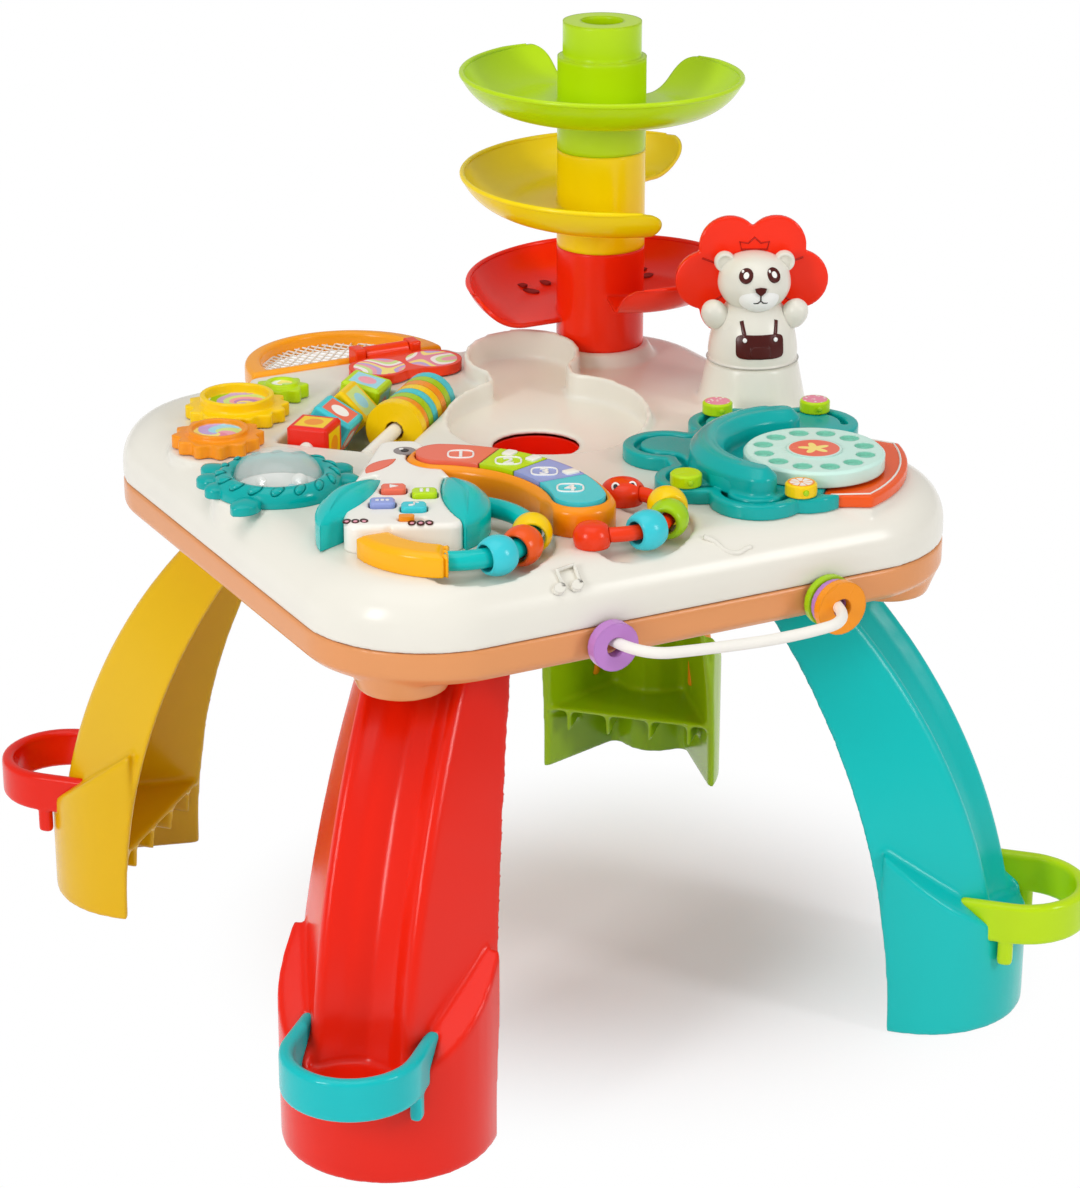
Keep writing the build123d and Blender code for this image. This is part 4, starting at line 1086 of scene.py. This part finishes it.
def floor():
    """Pale paper that keeps the shadow near the object and turns white further off."""
    reach = 6
    mesh = bpy.data.meshes.new("floor")
    corners = [(-reach, -reach, 0), (reach, -reach, 0), (reach, reach, 0), (-reach, reach, 0)]
    mesh.from_pydata(corners, [], [(0, 1, 2, 3)])
    obj = bpy.data.objects.new("floor", mesh)
    SCENE.collection.objects.link(obj)
    look = Look("floor_paper", 0.85, 0.02, 0)
    look.done(FLOOR)
    far, _ = look.round(*SHADE)
    edges = {"Value": far, "From Min": SHADE_NEAR, "From Max": SHADE_FAR, "To Min": 0.18}
    away = look.add("ShaderNodeMapRange", edges, interpolation_type="SMOOTHSTEP")
    rays = look.add("ShaderNodeLightPath").outputs
    mirrored = look.math("MAXIMUM", rays["Is Glossy Ray"], rays["Is Transmission Ray"])
    seen = look.math("MAXIMUM", rays["Is Camera Ray"], mirrored)
    white = look.add("ShaderNodeEmission", {"Color": (1, 1, 1, 1), "Strength": 1.0})
    share = look.times(seen, away.outputs[0])
    mixed = look.add("ShaderNodeMixShader", {0: share, 1: look.shader.outputs[0], 2: white.outputs[0]})
    look.put(look.tree.nodes["Material Output"].inputs["Surface"], mixed.outputs[0])
    mesh.materials.append(look.material)


def lamp(name, place, size, power):
    light = bpy.data.lights.new(name, "AREA")
    light.shape = "RECTANGLE"
    light.size, light.size_y = size
    light.energy = power
    obj = bpy.data.objects.new(name, light)
    SCENE.collection.objects.link(obj)
    aim(obj, place, (0, 0, 0.25))


def studio():
    world = bpy.data.worlds.new("studio")
    SCENE.world = world
    world.use_nodes = True
    world.node_tree.nodes["Background"].inputs["Color"].default_value = (1, 1, 1, 1)
    world.node_tree.nodes["Background"].inputs["Strength"].default_value = 0.5
    lamp("overhead", (-0.3, -0.2, 2.2), (1.8, 1.8), 12.5)
    lamp("left_box", (-1.9, -0.7, 1.1), (0.4, 0.8), 16)
    lamp("right_box", (1.2, -1.9, 1.2), (0.4, 0.8), 13.5)


def camera():
    turn, rise = radians(CAMERA_TURN), radians(CAMERA_RISE)
    back = Vector((sin(turn) * cos(rise), -cos(turn) * cos(rise), sin(rise)))
    data = bpy.data.cameras.new("camera")
    obj = bpy.data.objects.new("camera", data)
    SCENE.collection.objects.link(obj)
    aim(obj, TARGET + back * CAMERA_AWAY, TARGET)
    data.sensor_width = SENSOR
    data.lens = SENSOR * FOCAL / IMAGE[1]
    data.shift_x = (IMAGE[0] / 2 - CENTRE[0]) / IMAGE[1]
    data.shift_y = (CENTRE[1] - IMAGE[1] / 2) / IMAGE[1]
    SCENE.camera = obj


floor()
studio()
camera()
SCENE.view_settings.view_transform = "Standard"
